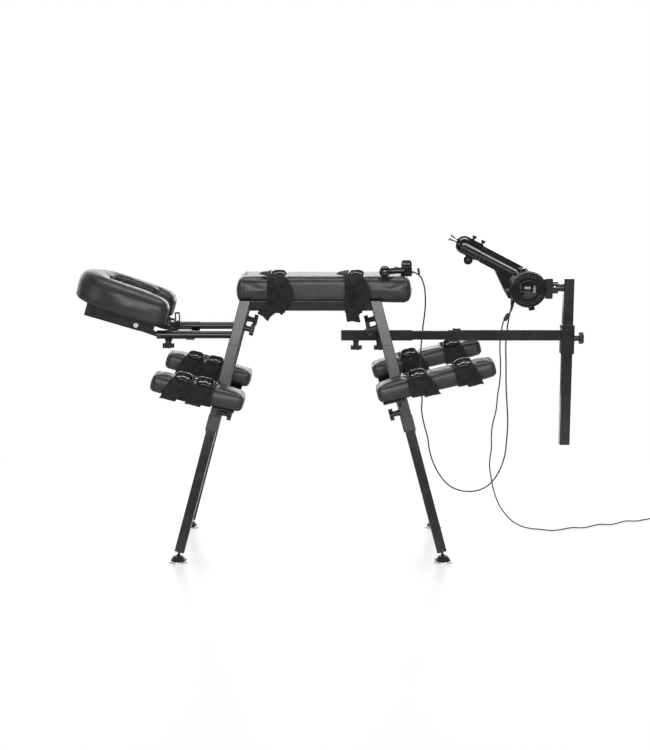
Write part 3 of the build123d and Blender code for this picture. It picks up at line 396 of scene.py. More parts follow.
control_cord = place(cable("control_cord", CONTROL_ROUTE, CONTROL_DIAMETER), "bench", "black_cable")
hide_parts("control_cable")
last_turn = coil_points()
_, adapter_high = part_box("power_adapter")
landing = [(last_turn[-1][0], COIL_CENTRE[1] - 9, COIL_FLOOR + COIL_LAYER),
           (last_turn[-1][0], adapter_high.y / MM, COIL_FLOOR + COIL_LAYER)]
power_route = POWER_ROUTE + last_turn + landing
power_cord = place(cable("power_cord", power_route, POWER_DIAMETER), "bench", "black_cable")
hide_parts("power_cable", "cable_coil")


def tie():
    """A soft wire tie round the coil's turns."""
    x, y = COIL_CENTRE[0] * MM, (COIL_CENTRE[1] + COIL_MEAN) * MM
    ring = []
    for i in range(24):
        turn = 2 * math.pi * i / 24
        ring.append((x + 0.0008 * math.sin(3 * turn), y + 0.0052 * math.cos(turn),
                     0.0044 + 0.0050 * math.sin(turn)))
    return line_piece("coil_tie", [ring], 0.0007)


coil_tie = place(tie(), "bench", "black_plastic")


def relief(name, body, top, bottom, wide, narrow):
    """A tapered, ringed strain relief round a cable where it leaves a housing."""
    top, bottom = Vector(top), Vector(bottom)
    length = (top - bottom).length
    profile = []
    for i in range(13):
        share = i / 12
        ring = 0.00025 if i % 2 else 0.0
        profile.append((narrow + (wide - narrow) * share ** 0.8 - ring, share * length))
    piece = lathe(name, profile, 24)
    return place(piece, body, "black_plastic", matrix=basis(bottom, (1, 0.3, 0), top - bottom))


control_exit = Vector(CONTROL_ROUTE[0]) * MM
relief("control_relief", "bench", control_exit, control_exit + Vector((0.017, 0.001, -0.0065)), 0.0038, 0.0027)
gland_low = Vector(CONTROL_ROUTE[-1]) * MM + Vector((0, 0, 0.001))
relief("motor_control_relief", "drive_arm", gland_low, gland_low + Vector((-0.0012, 0.0012, -0.012)),
       0.0042, 0.0027)
power_exit = Vector(POWER_ROUTE[0]) * MM + Vector((0, 0, 0.001))
relief("motor_power_relief", "drive_arm", power_exit, power_exit + Vector((-0.001, 0.001, -0.012)),
       0.0042, 0.0025)


def barrel_connector():
    """The in-line connector: two ribbed halves with a joint line between them."""
    start, stop = Vector(POWER_ROUTE[2]) * MM, Vector(POWER_ROUTE[4]) * MM
    middle = (start + stop) / 2
    profile = [(0.0024, -0.0125), (0.0040, -0.0118), (0.0050, -0.0105), (0.0058, -0.0090), (0.0064, -0.0070),
               (0.0064, -0.0006), (0.0059, -0.0004), (0.0059, 0.0004), (0.0064, 0.0006), (0.0064, 0.0070),
               (0.0058, 0.0090), (0.0050, 0.0105), (0.0040, 0.0118), (0.0024, 0.0125)]
    piece = lathe("barrel_connector", profile, 48, 16, 0.0005, 0.006)
    return place(piece, "bench", "black_plastic", matrix=basis(middle, (0, 1, 0), stop - start))


connector = barrel_connector()
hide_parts("inline_connector")


# ---- cushions --------------------------------------------------------------------------------------------
VOXEL, PRESSURE, SIM_FRAMES = 0.005, 4.0, 20


def swell(piece, cap):
    """Remesh a smaller shape evenly, then let cloth under pressure round it, by no more than the cap."""
    modifier(piece, "REMESH", mode="VOXEL", voxel_size=VOXEL, use_smooth_shade=True)
    settle(piece)
    start = [v.co.copy() for v in piece.data.vertices]
    cloth = modifier(piece, "CLOTH")
    cloth.settings.quality = 4
    cloth.settings.mass = 0.3
    cloth.settings.tension_stiffness = 20
    cloth.settings.compression_stiffness = 20
    cloth.settings.bending_stiffness = 2
    cloth.settings.use_pressure = True
    cloth.settings.uniform_pressure_force = PRESSURE
    cloth.settings.effector_weights.gravity = 0
    cloth.point_cache.frame_end = SIM_FRAMES
    for number in range(1, SIM_FRAMES + 1):
        scene.frame_set(number)
    settle(piece)
    scene.frame_set(1)
    for vertex, before in zip(piece.data.vertices, start):
        moved = vertex.co - before
        if moved.length > cap:
            vertex.co = before + moved * (cap / moved.length)
    modifier(piece, "SMOOTH", factor=0.5, iterations=3)
    modifier(piece, "SUBSURF", levels=1, render_levels=1)
    settle(piece)
    for face in piece.data.polygons:
        face.use_smooth = True


def block(name, size, bevel):
    """A box with rounded edges, centred on its own origin."""
    bm = bmesh.new()
    bmesh.ops.create_cube(bm, size=1)
    for vertex in bm.verts:
        vertex.co = Vector([c * s for c, s in zip(vertex.co, size)])
    bmesh.ops.bevel(bm, geom=bm.edges[:], offset=bevel, segments=5, profile=0.5, affect="EDGES")
    return mesh_piece(name, bm)


def cut_loops(piece, spot, normal):
    """Where a plane cuts a piece: closed loops of points in its own frame, a hair outside its surface."""
    bm = bmesh.new()
    bm.from_mesh(piece.data)
    everything = bm.verts[:] + bm.edges[:] + bm.faces[:]
    cut = bmesh.ops.bisect_plane(bm, geom=everything, plane_co=spot, plane_no=normal, dist=1e-6)["geom_cut"]
    bm.normal_update()
    links = {}
    for edge in (e for e in cut if isinstance(e, bmesh.types.BMEdge)):
        a, b = edge.verts
        links.setdefault(a, []).append(b)
        links.setdefault(b, []).append(a)
    loops = []
    while links:
        here = next(iter(links))
        loop = []
        while here is not None:
            loop.append(here.co + here.normal * 0.0002)
            following = [v for v in links.pop(here) if v in links]
            here = following[0] if following else None
        if len(loop) > 20:
            loops.append(loop)
    bm.free()
    return loops


def evenly(loop, step):
    """Points along a closed loop at an even distance."""
    spots, left = [], 0.0
    for a, b in zip(loop, loop[1:] + loop[:1]):
        run = (b - a).length
        while left < run:
            spots.append(a.lerp(b, left / run))
            left += step
        left -= run
    return spots


def stitched(piece, name, body, planes, offset=0.0032, step=0.0042):
    """Seams on a cushion: a welt where each plane cuts it, and a row of stitches beside it."""
    welts, stitches = [], []
    for spot, normal in planes:
        spot, normal = Vector(spot), Vector(normal).normalized()
        welts += [evenly(loop, 0.003) for loop in cut_loops(piece, spot, normal)]
        for loop in cut_loops(piece, spot + normal * offset, normal):
            spots = evenly(loop, step / 3)
            threes = [spots[i:i + 3] for i in range(0, len(spots) - 3, 3)]
            stitches += [[start, middle.lerp(end, 0.6)] for start, middle, end in threes]
    matrix = piece.matrix_world.copy()
    place(line_piece(f"{name}_welt", welts, 0.0009), body, "black_leatherette", SEAM_DARK, matrix)
    thread = line_piece(f"{name}_stitches", stitches, 0.0003, False, 1)
    place(thread, body, "black_leatherette", THREAD, matrix)


def press(piece, half, bands, floor):
    """Hold a cushion inside its space where straps cross it, and flat underneath where it rests."""
    for vertex in piece.data.vertices:
        x, y, z = vertex.co
        pressed = max([0.0] + [1 - max(abs(x - centre) - wide, 0) / 0.012 for centre, wide in bands])
        if pressed > 0:
            limit_y, limit_z = half.y - 0.0012 * pressed, half.z - 0.0012 * pressed
            y = max(-limit_y, min(limit_y, y)) * pressed + y * (1 - pressed)
            z = min(limit_z, z) * pressed + z * (1 - pressed)
        vertex.co = (x, y, max(z, floor))


def creases(piece, half, seed):
    """Shallow pulls in the cover near the corners and ends."""
    normals = [vertex.normal.copy() for vertex in piece.data.vertices]
    for vertex, normal in zip(piece.data.vertices, normals):
        spot = vertex.co
        near_end = max(0.0, 1 - (half.x - abs(spot.x)) / 0.07)
        pull = noise.noise(Vector((spot.x * 18 + seed, spot.y * 30, spot.z * 46)))
        vertex.co = spot + normal * 0.0011 * near_end * pull


BENCH_LOW, BENCH_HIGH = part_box("bench_pad")
bench_size = BENCH_HIGH - BENCH_LOW
bench_centre = (BENCH_HIGH + BENCH_LOW) / 2
BENCH_STRAPS = (-0.166, 0.058)
BENCH_STRAP_WIDE = 0.050
SWELL = 0.005

BOARD_COVER = 0.010      # how far the cover reaches down over the board
END_FULLNESS = 0.006     # how much longer the cushion is than the CAD pad
bench_cushion = block("bench_cushion", bench_size + Vector((END_FULLNESS, -SWELL, BOARD_COVER - SWELL)), 0.012)
swell(bench_cushion, SWELL)
bench_half = (bench_size + Vector((END_FULLNESS, 0, BOARD_COVER))) / 2
creases(bench_cushion, bench_half, 1.0)
bench_bands = [(x - bench_centre.x, BENCH_STRAP_WIDE / 2) for x in BENCH_STRAPS]
press(bench_cushion, bench_half, bench_bands, -bench_half.z)
place(bench_cushion, "bench", "black_leatherette",
      matrix=Matrix.Translation(bench_centre - Vector((0, 0, BOARD_COVER / 2))))
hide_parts("bench_pad")
END_SEAM, TOP_SEAM = 0.024, 0.0095
stitched(bench_cushion, "bench_cushion", "bench", [
    ((-bench_half.x + END_SEAM, 0, 0), (-1, 0, 0)), ((bench_half.x - END_SEAM, 0, 0), (1, 0, 0)),
    ((0, 0, bench_half.z - TOP_SEAM), (0, 0, 1))])

PAD_TILT = math.radians(13.6)
LIMB_PADS = {
    "forearm": {"length": 0.274, "thick": 0.054, "straps": (-0.046, 0.017), "end": -1},
    "shin": {"length": 0.350, "thick": 0.051, "straps": (-0.050, 0.084), "end": 1},
}
LIMB_WIDTH, LIMB_STRAP_WIDE = 0.104, 0.056
LIMB_END_SEAM, LIMB_TOP_SEAM = 0.016, 0.009


def limb_matrix(limb, hand):
    """A limb pad's own frame: x along the pad, z square to its top."""
    low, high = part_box(f"{limb}_pad_{hand}")
    end = LIMB_PADS[limb]["end"]
    return basis((low + high) / 2, (math.cos(PAD_TILT), 0, end * math.sin(PAD_TILT)),
                 (-end * math.sin(PAD_TILT), 0, math.cos(PAD_TILT)))


for limb, facts in LIMB_PADS.items():
    half = Vector((facts["length"], LIMB_WIDTH, facts["thick"])) / 2
    pattern = block(f"{limb}_pattern", half * 2 - Vector((SWELL, SWELL, SWELL)), 0.013)
    swell(pattern, SWELL)
    for hand in ("left", "right"):
        cushion = bpy.data.objects.new(f"{limb}_cushion_{hand}", pattern.data.copy())
        creases(cushion, half, 3.0 if hand == "left" else 8.0)
        press(cushion, half, [(x, LIMB_STRAP_WIDE / 2) for x in facts["straps"]], -half.z)
        place(cushion, "bench", "black_leatherette", matrix=limb_matrix(limb, hand))
        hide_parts(f"{limb}_pad_{hand}")
        stitched(cushion, cushion.name, "bench", [
            ((-half.x + LIMB_END_SEAM, 0, 0), (-1, 0, 0)), ((half.x - LIMB_END_SEAM, 0, 0), (1, 0, 0)),
            ((0, 0, half.z - LIMB_TOP_SEAM), (0, 0, 1))])
    bpy.data.objects.remove(pattern)


# ---- face cradle cushion ---------------------------------------------------------------------------------
CRADLE_TILT = math.radians(16.5)
CRADLE_PIVOT = Vector((-0.573, 0, 0.684))
CRADLE_OUT, CRADLE_IN, CRADLE_ARC, CRADLE_END = 0.150, 0.050, -0.056, 0.085
CRADLE_FLOOR, CRADLE_FRONT_TOP, CRADLE_BACK_TOP, CRADLE_ROUND = 0.0265, 0.111, 0.100, 0.034


def horseshoe(inset, corner=0.034):
    """The cradle's outline moved in by an inset, as points going round it."""
    outer, inner, back = CRADLE_OUT - inset, CRADLE_IN + inset, CRADLE_END - inset
    corner = max(corner - inset, 0.006)
    points = []

    def arc(x, y, radius, start, stop, steps):
        for i in range(steps + 1):
            angle = math.radians(start + (stop - start) * i / steps)
            points.append((x + radius * math.cos(angle), y + radius * math.sin(angle)))

    arc(back - corner, outer - corner, corner, 0, 90, 6)
    arc(CRADLE_ARC, 0, outer, 90, 270, 48)
    arc(back - corner, -outer + corner, corner, 270, 360, 6)
    arc(back - corner, -inner - corner, corner, 0, 90, 6)
    arc(CRADLE_ARC, 0, inner, 270, 90, 28)
    arc(back - corner, inner + corner, corner, 270, 360, 6)
    return points


def cradle_cushion():
    """The horseshoe cushion: upright sides, edges rounded over the top, lower towards the bench."""
    shrink = SWELL / 2
    full = CRADLE_FRONT_TOP - CRADLE_FLOOR - shrink
    bm = bmesh.new()
    rings = []
    levels = [(shrink + 0.002, 0.0), (shrink, 0.004), (shrink, full - CRADLE_ROUND)]
    for i in range(1, 7):
        turn = math.radians(15 * i)
        inward, down = 1 - math.cos(turn), 1 - math.sin(turn)
        levels.append((shrink + CRADLE_ROUND * inward, full - CRADLE_ROUND * down))
    for inset, height in levels:
        ring = []
        for u, v in horseshoe(inset):
            share = min(max((u + CRADLE_OUT - CRADLE_ARC) / (CRADLE_END + CRADLE_OUT - CRADLE_ARC), 0), 1)
            top = CRADLE_FRONT_TOP + (CRADLE_BACK_TOP - CRADLE_FRONT_TOP) * share
            scale = (top - CRADLE_FLOOR) / (CRADLE_FRONT_TOP - CRADLE_FLOOR)
            ring.append(bm.verts.new((u, v, CRADLE_FLOOR + height * scale)))
        rings.append(ring)
    for low, high in zip(rings, rings[1:]):
        for i in range(len(low)):
            bm.faces.new((low[i], low[(i + 1) % len(low)], high[(i + 1) % len(low)], high[i]))
    bm.faces.new(rings[0][::-1])
    bm.faces.new(rings[-1])
    bmesh.ops.triangulate(bm, faces=[f for f in bm.faces if len(f.verts) > 4])
    return mesh_piece("cradle_cushion", bm)


cradle_soft = cradle_cushion()
swell(cradle_soft, SWELL)
for vertex in cradle_soft.data.vertices:
    vertex.co.z = max(vertex.co.z, CRADLE_FLOOR)
cradle_matrix = basis(CRADLE_PIVOT, (math.cos(CRADLE_TILT), 0, -math.sin(CRADLE_TILT)),
                      (math.sin(CRADLE_TILT), 0, math.cos(CRADLE_TILT)))
place(cradle_soft, "cradle_head", "black_leatherette", matrix=cradle_matrix)
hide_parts("cradle_pad")
stitched(cradle_soft, "cradle_cushion", "cradle_head", [
    ((CRADLE_END, 0, CRADLE_BACK_TOP - 0.012),
     (math.sin(math.atan2(CRADLE_FRONT_TOP - CRADLE_BACK_TOP, 0.29)), 0, 1))])

# ---- straps and buckles ----------------------------------------------------------------------------------
STRAP_THICK = 0.0022


def ribbon(name, stations, width, closed=False, wrinkle=0.0, seed=0.0, slant=0.0):
    """A webbing band through stations of (centre, outward, along); its width runs along."""
    columns = 9
    bm = bmesh.new()
    rows = []
    for i, (centre, outward, along) in enumerate(stations):
        row = []
        for j in range(columns):
            share = j / (columns - 1) - 0.5
            ripple = noise.noise(Vector((share * 2.6 + seed, i * 0.28, seed * 1.7)))
            spot = Vector(centre) + Vector(along) * share * width + Vector(outward) * wrinkle * (0.45 + ripple)
            if not closed and i == len(stations) - 1:
                before = Vector(stations[i - 1][0])
                spot += (Vector(centre) - before).normalized() * slant * share * width
            row.append(bm.verts.new(spot))
        rows.append(row)
    pairs = list(zip(rows, rows[1:]))
    if closed:
        pairs.append((rows[-1], rows[0]))
    for low, high in pairs:
        for j in range(columns - 1):
            bm.faces.new((low[j], low[j + 1], high[j + 1], high[j]))
    piece = mesh_piece(name, bm)
    modifier(piece, "SUBSURF", levels=1, render_levels=1)
    modifier(piece, "SOLIDIFY", thickness=STRAP_THICK, offset=0)
    modifier(piece, "BEVEL", width=0.0005, segments=2, limit_method="ANGLE")
    return piece


def round_loop(half_y, low, high, radius, steps=7):
    """Stations round a rounded rectangle in the upright plane across the bench, from its top's middle."""
    corners = [(-half_y + radius, high - radius, 90), (-half_y + radius, low + radius, 180),
               (half_y - radius, low + radius, 270), (half_y - radius, high - radius, 0)]
    arcs = []
    for y, z, start in corners:
        arcs.append([(y + radius * math.cos(math.radians(start + 90 * i / steps)),
                      z + radius * math.sin(math.radians(start + 90 * i / steps)),
                      math.radians(start + 90 * i / steps)) for i in range(steps + 1)])
    stations = []
    for current, following in zip(arcs, arcs[1:] + arcs[:1]):
        stations += current
        (y0, z0, a0), (y1, z1, _) = current[-1], following[0]
        run = math.hypot(y1 - y0, z1 - z0)
        for i in range(1, max(int(run / 0.012), 1)):
            share = i / max(int(run / 0.012), 1)
            stations.append((y0 + (y1 - y0) * share, z0 + (z1 - z0) * share, a0))
    along = Vector((1, 0, 0))
    return [(Vector((0, y, z)), Vector((0, math.cos(a), math.sin(a))), along) for y, z, a in stations]


def moved(stations, shift):
    """The same stations moved along, by an amount that may depend on the station's share of the way."""
    count = len(stations) - 1
    return [(c + Vector((shift(i / count), 0, 0)), o, a) for i, (c, o, a) in enumerate(stations)]


def drape(points):
    """Stations of an open band through (x, y, z) points, smoothed, its width along x."""
    spots = [Vector(p) for p in points]
    for _ in range(2):
        finer = [spots[0]]
        for a, b in zip(spots, spots[1:]):
            finer += [a.lerp(b, 0.25), a.lerp(b, 0.75)]
        spots = finer + [spots[-1]]
    stations = []
    for i, spot in enumerate(spots):
        tangent = (spots[min(i + 1, len(spots) - 1)] - spots[max(i - 1, 0)]).normalized()
        level = Vector((0, tangent.y, tangent.z))
        outward = Vector((0, level.z, -level.y)).normalized() if level.length > 1e-6 else Vector((0, 0, 1))
        side = tangent.cross(outward)
        side = side if side.x > 0 else -side
        stations.append((spot, outward, side))
    return stations


def buckle(name, length, width, height):
    """A side-release buckle: an arched, hollow shell with a waisted outline and two shallow grooves across its
    top.
    """
    bm = bmesh.new()
    across, along = 13, 17
    grid = []
    for i in range(along):
        u = 2 * i / (along - 1) - 1
        row = []
        for j in range(across):
            v = 2 * j / (across - 1) - 1
            waist = 1 - 0.10 * math.cos(u * math.pi) ** 2 - 0.10 * u ** 6
            crown = height * (0.42 + 0.5 * (1 - u * u) ** 0.7) * (1 - 0.4 * v ** 4)
            notch = 0.0012 if 0.30 < abs(u) < 0.44 and abs(v) < 0.62 else 0.0
            reach = u * length / 2 * (1 - 0.06 * v ** 4)
            row.append(bm.verts.new((reach, v * width / 2 * waist, crown - notch)))
        grid.append(row)
    for a, b in zip(grid, grid[1:]):
        for j in range(across - 1):
            bm.faces.new((a[j], a[j + 1], b[j + 1], b[j]))
    piece = mesh_piece(name, bm)
    modifier(piece, "SOLIDIFY", thickness=0.0022, offset=-1)
    modifier(piece, "BEVEL", width=0.0006, segments=2, limit_method="ANGLE")
    modifier(piece, "SUBSURF", levels=1, render_levels=1)
    return piece


def bench_strap(number, x):
    """A wide strap round the bench pad and its rails, with a second folded layer and two loose tails."""
    half_y = bench_size.y / 2 + 0.0022
    top, low = BENCH_HIGH.z + 0.0016, 0.7225
    lean = 1 if number == 0 else -1      # the two straps' tails lean opposite ways
    loop = round_loop(half_y, low, top, 0.010)
    loop = moved(loop, lambda s: x + 0.002 * math.sin(6.28 * s))
    band = ribbon(f"bench_strap_{number}", loop, BENCH_STRAP_WIDE, True, 0.0012, 2.0 + number)
    place(band, "bench", "black_nylon")
    if number == 0:
        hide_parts("straps")
    front = -half_y - 0.0022
    # the second layer leaves the buckle, fans out over the front and folds back under
    fan = [(x + 0.004, -0.070, top + 0.004), (x + 0.008, -0.092, top + 0.0045),
           (x + 0.012, front, top - 0.006), (x + 0.024, front - 0.001, 0.800),
           (x + 0.034, front - 0.002, 0.777), (x + 0.026, front - 0.002, 0.756),
           (x + 0.014, front + 0.001, 0.742), (x + 0.004, front + 0.006, 0.729)]
    place(ribbon(f"bench_strap_fold_{number}", drape(fan), 0.040, False, 0.0015, 5.0 + number, 0.25), "bench",
          "black_nylon")
    tail_x = x - 0.030 if lean > 0 else x - 0.004
    reach = 0.712 if lean > 0 else 0.698
    tail = [(x - 0.004, front + 0.004, 0.752), (x - 0.010 * lean, front + 0.001, 0.738),
            (tail_x, front - 0.002, 0.724), (tail_x - 0.006 * lean, front + 0.001, reach)]
    place(ribbon(f"bench_strap_tail_{number}", drape(tail), 0.038, False, 0.001, 9.0 + number, 0.45), "bench",
          "black_nylon")
    # end that stands off the top, folded back over the buckle
    flap = [(x - 0.002, -0.016, top + 0.003), (x - 0.010, -0.030, top + 0.010),
            (x - 0.022, -0.052, top + 0.011), (x - 0.032, -0.080, top + 0.0045)]
    place(ribbon(f"bench_strap_flap_{number}", drape(flap), 0.036, False, 0.001, 13.0 + number, 0.4), "bench",
          "black_nylon")


buckle_numbers = itertools.count()


def put_buckle(matrix, length, width, height):
    """One more buckle, at a place."""
    piece = buckle(f"buckle_{next(buckle_numbers)}", length, width, height)
    return place(piece, "bench", "gloss_black", matrix=matrix)


for number, x in enumerate(BENCH_STRAPS):
    bench_strap(number, x)
    lean = Matrix.Rotation(math.radians(16), 4, "X") @ Matrix.Rotation(math.radians(6 - 14 * number), 4, "Z")
    spot = Matrix.Translation((x + 0.010, -0.072, BENCH_HIGH.z + 0.0075))
    bench_buckle = put_buckle(spot @ lean, 0.046, 0.036, 0.014)
    if number == 0:
        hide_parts("strap_buckles")

def limb_strap(limb, hand, number, x, seed):
    """A strap round a limb pad: the loop, a second layer over the front, a loose tail and a buckle."""
    facts = LIMB_PADS[limb]
    matrix = limb_matrix(limb, hand)
    high, wide = facts["thick"] / 2 + 0.0012, LIMB_WIDTH / 2 + 0.0014
    loop = moved(round_loop(wide, -high, high, 0.011), lambda s: x + 0.002 * math.sin(12.56 * s + seed))
    lean = facts["end"] * (0.020 if number == 0 else 0.014)
    face = -wide - 0.0025
    layer = [(x, -0.022, high + 0.003), (x + lean * 0.2, -0.040, high + 0.0035),
             (x + lean * 0.5, face, high - 0.006), (x + lean, face - 0.001, 0.004),
             (x + lean * 1.3, face - 0.001, -high + 0.012), (x + lean * 1.5, face + 0.004, -high - 0.004),
             (x + lean * 1.7, face + 0.018, -high - 0.007)]
    tail = [(x - lean * 0.3, -0.004, high + 0.002), (x - lean * 0.5, 0.018, high + 0.004),
            (x - lean * 0.9, 0.034, high + 0.0035), (x - lean * 1.3, 0.046, high + 0.003)]
    end = f"{hand}_{number}"
    bands = [ribbon(f"{limb}_strap_{end}", loop, LIMB_STRAP_WIDE, True, 0.0018, seed),
             ribbon(f"{limb}_strap_layer_{end}", drape(layer), 0.044, False, 0.002, seed + 2, 0.3),
             ribbon(f"{limb}_strap_tail_{end}", drape(tail), 0.038, False, 0.0012, seed + 4, 0.35)]
    for band in bands:
        place(band, "bench", "black_nylon", matrix=matrix)
    spot = Matrix.Translation((x, -0.036, high + 0.0055))
    put_buckle(matrix @ spot @ Matrix.Rotation(math.radians(28), 4, "X"), 0.048, 0.038, 0.013)


for limb, facts in LIMB_PADS.items():
    for hand in ("left", "right"):
        for number, x in enumerate(facts["straps"]):
            seed = 20.0 + 7 * number + 3 * (hand == "right") + 40 * (limb == "shin")
            limb_strap(limb, hand, number, x, seed)


# ---- small fittings --------------------------------------------------------------------------------------
ARM_SLOPE = math.radians(27.4)
ARM_NOSE = Vector((0.387, 0, 0.911))
ARM_ALONG = Vector((math.cos(ARM_SLOPE), 0, -math.sin(ARM_SLOPE)))
ARM_ACROSS = Vector((math.sin(ARM_SLOPE), 0, math.cos(ARM_SLOPE)))
MOTOR = Vector((0.572, 0, 0.784))


def standing(spot, direction):
    """A matrix whose z runs in a direction, with its x across it."""
    side = Vector((0, 1, 0)) if abs(Vector(direction).normalized().y) < 0.9 else Vector((1, 0, 0))
    return basis(spot, side, direction)


def thumb_screw(name, body, spot, direction, size=1.0):
    """A small knurled screw standing on a surface."""
    profile = [(0.0022, -0.004), (0.0022, 0.0018), (0.0030, 0.0019), (0.0050, 0.0024), (0.0054, 0.0032),
               (0.0054, 0.0085), (0.0048, 0.0094), (0.0024, 0.0098)]
    piece = lathe(name, [(r * size, h * size) for r, h in profile], 60, 20, 0.0005 * size, 0.0045 * size)
    return place(piece, body, "black_plastic", matrix=standing(spot, direction))


def pan_screw(name, body, spot, direction, radius, look="zinc"):
    """A pan-head screw with a cross recess."""
    bm = bmesh.new()
    sides, rings = 32, []
    profile = [(1.0, 0.0), (1.0, 0.18), (0.92, 0.34), (0.74, 0.46), (0.48, 0.52), (0.3, 0.53), (0.2, 0.5),
               (0.08, 0.2)]
    for r, h in profile:
        ring = []
        for i in range(sides):
            turn = 2 * math.pi * i / sides
            cross = 0.55 + 0.45 * abs(math.cos(2 * turn)) ** 3 if r < 0.4 else 1.0
            ring.append(bm.verts.new((r * cross * radius * math.cos(turn), r * cross * radius * math.sin(turn),
                                      h * radius)))
        rings.append(ring)
    for low, high in zip(rings, rings[1:]):
        for i in range(sides):
            bm.faces.new((low[i], low[(i + 1) % sides], high[(i + 1) % sides], high[i]))
    bm.faces.new(rings[-1])
    bm.faces.new(rings[0][::-1])
    piece = mesh_piece(name, bm)
    return place(piece, body, look, matrix=standing(spot, direction))


def bead(name, body, centre, normal, radius, thick, slot="gloss_black"):
    """A round bead, such as a joint line or trim ring."""
    points = []
    for i in range(72):
        turn = 2 * math.pi * i / 72
        points.append((radius * math.cos(turn), radius * math.sin(turn), 0))
    return place(line_piece(name, [points], thick, True, 3), body, slot, matrix=standing(centre, normal))


for number, along in enumerate((0.016, 0.045)):
    spot = ARM_NOSE + ARM_ALONG * along + ARM_ACROSS * 0.0265
    thumb_screw(f"nose_screw_{number}", "drive_arm", spot, ARM_ACROSS, 1.15)
lug = ARM_NOSE + ARM_ALONG * 0.030 - ARM_ACROSS * 0.034
pan_screw("lug_screw", "drive_arm", lug + Vector((0, -0.006, 0)), (0, -1, 0), 0.0058, "black_plastic")
pan_screw("lug_nut", "drive_arm", lug + Vector((0, 0.006, 0)), (0, 1, 0), 0.0058, "zinc")
COVER_RINGS = ((0.0525, 0.0478), (0.0435, 0.0484), (0.0375, 0.0480), (0.0265, 0.0484))
for number, (radius, depth) in enumerate(COVER_RINGS):
    bead(f"cover_ring_{number}", "drive_arm", MOTOR + Vector((0, -depth, 0)), (0, -1, 0), radius, 0.0009)
for number, along in enumerate((0.0, 0.0488)):
    spot = ARM_NOSE + ARM_ALONG * (along + 0.002)
    bead(f"barrel_ring_{number}", "drive_arm", spot, ARM_ALONG, 0.0268, 0.0007)
for number, (along, across) in enumerate(((0.085, 0.012), (0.150, -0.020), (0.125, 0.014), (0.178, 0.010))):
    spot = ARM_NOSE + ARM_ALONG * along + ARM_ACROSS * across
    pan_screw(f"shell_screw_{number}", "drive_arm", spot + Vector((0, 0.0205, 0)), (0, 1, 0), 0.0034, "zinc")
pan_screw("swivel_set_screw", "swivel", Vector((0.6535, -0.0168, 0.789)), (0, -1, 0), 0.0028, "zinc")


def cover_window():
    """The small grey inspection window on the domed cap."""
    width, height, offset = 0.0084, 0.017, 0.0165
    dome_rise, dome_radius, sunk = 0.0068, 0.025, 0.0004
    bm = bmesh.new()
    grid = []
    for i in range(9):
        row = []
        for j in range(11):
            x, z = width * (i / 8 - 0.5), height * (j / 10 - 0.5)
            radial = math.hypot(x + offset, z)
            row.append(bm.verts.new((x, dome_rise * (radial / dome_radius) ** 2 - sunk, z)))
        grid.append(row)
    for a, b in zip(grid, grid[1:]):
        for j in range(len(a) - 1):
            bm.faces.new((a[j], a[j + 1], b[j + 1], b[j]))
    piece = mesh_piece("cover_window", bm)
    modifier(piece, "SOLIDIFY", thickness=0.0008, offset=0)
    modifier(piece, "BEVEL", width=0.0003, segments=2, limit_method="ANGLE")
    spot = MOTOR + Vector((offset, -0.0582, 0))
    return place(piece, "drive_arm", "grey_plastic", WINDOW, Matrix.Translation(spot))


cover_window()


def end_plug(name, body, centre, outward, size):
    """A moulded plug in the end of a square tube."""
    bm = bmesh.new()
    bmesh.ops.create_cube(bm, size=1)
    for vertex in bm.verts:
        vertex.co = Vector((vertex.co.x * size, vertex.co.y * size, vertex.co.z * 0.003 + 0.0016))
    corners = [e for e in bm.edges if abs(e.verts[0].co.z - e.verts[1].co.z) > 0.001]
    bmesh.ops.bevel(bm, geom=corners, offset=0.003, segments=4, profile=0.5, affect="EDGES")
    rim = [e for e in bm.edges if min(v.co.z for v in e.verts) > 0.002]
    bmesh.ops.bevel(bm, geom=rim, offset=0.0009, segments=3, profile=0.5, affect="EDGES")
    piece = mesh_piece(name, bm, smooth=False)
    return place(piece, body, "black_plastic", matrix=standing(centre, outward))


POST_X = 0.697
post_low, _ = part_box("post")
end_plug("post_plug", "post", (POST_X, 0, post_low.z), (0, 0, -1), 0.0298)


# ---- hand control ----------------------------------------------------------------------------------------
CONTROL_BALL, CONTROL_HEAD = Vector((0.150, -0.086, 0.841)), Vector((0.215, -0.042, 0.841))
DIAL_LOW, DIAL_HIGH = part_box("control_dial")


def ridged_dial():
    """The speed dial: a domed knob with finger ridges."""
    height = DIAL_HIGH.z - DIAL_LOW.z
    profile = [(0.0140, 0.0), (0.0158, 0.0006), (0.0160, 0.002), (0.0158, height * 0.45),
               (0.0148, height * 0.66), (0.0126, height * 0.84), (0.0090, height * 0.95),
               (0.0045, height * 0.995)]
    piece = lathe("ridged_dial", profile, 96, 16, 0.0018, 0.010)
    middle = (DIAL_LOW + DIAL_HIGH) / 2
    place(piece, "dial", "gloss_black", matrix=Matrix.Translation((middle.x, middle.y, DIAL_LOW.z)))
    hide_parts("control_dial")


ridged_dial()
control_along = (CONTROL_HEAD - CONTROL_BALL).normalized()
for number, along in enumerate((0.020, 0.024, 0.054)):
    spot = CONTROL_BALL + control_along * along
    bead(f"control_ring_{number}", "bench", spot, control_along, 0.0093, 0.0009)
bead("control_ball_ring", "bench", CONTROL_BALL, control_along, 0.0171, 0.0006)
for name, rise in (("control_head_ring", 0.0085), ("control_base_ring", -0.0085)):
    bead(name, "bench", CONTROL_HEAD + Vector((0, 0, rise)), (0, 0, 1), 0.0172, 0.0008)


# ---- frame fittings --------------------------------------------------------------------------------------
LEG_CENTRE, LEG_REACH_X, LEG_REACH_Y, LEG_END = -0.065, 0.383, 0.182, 0.030
RAKE, SPLAY = math.tan(math.radians(15.0)), math.tan(math.radians(7.2))
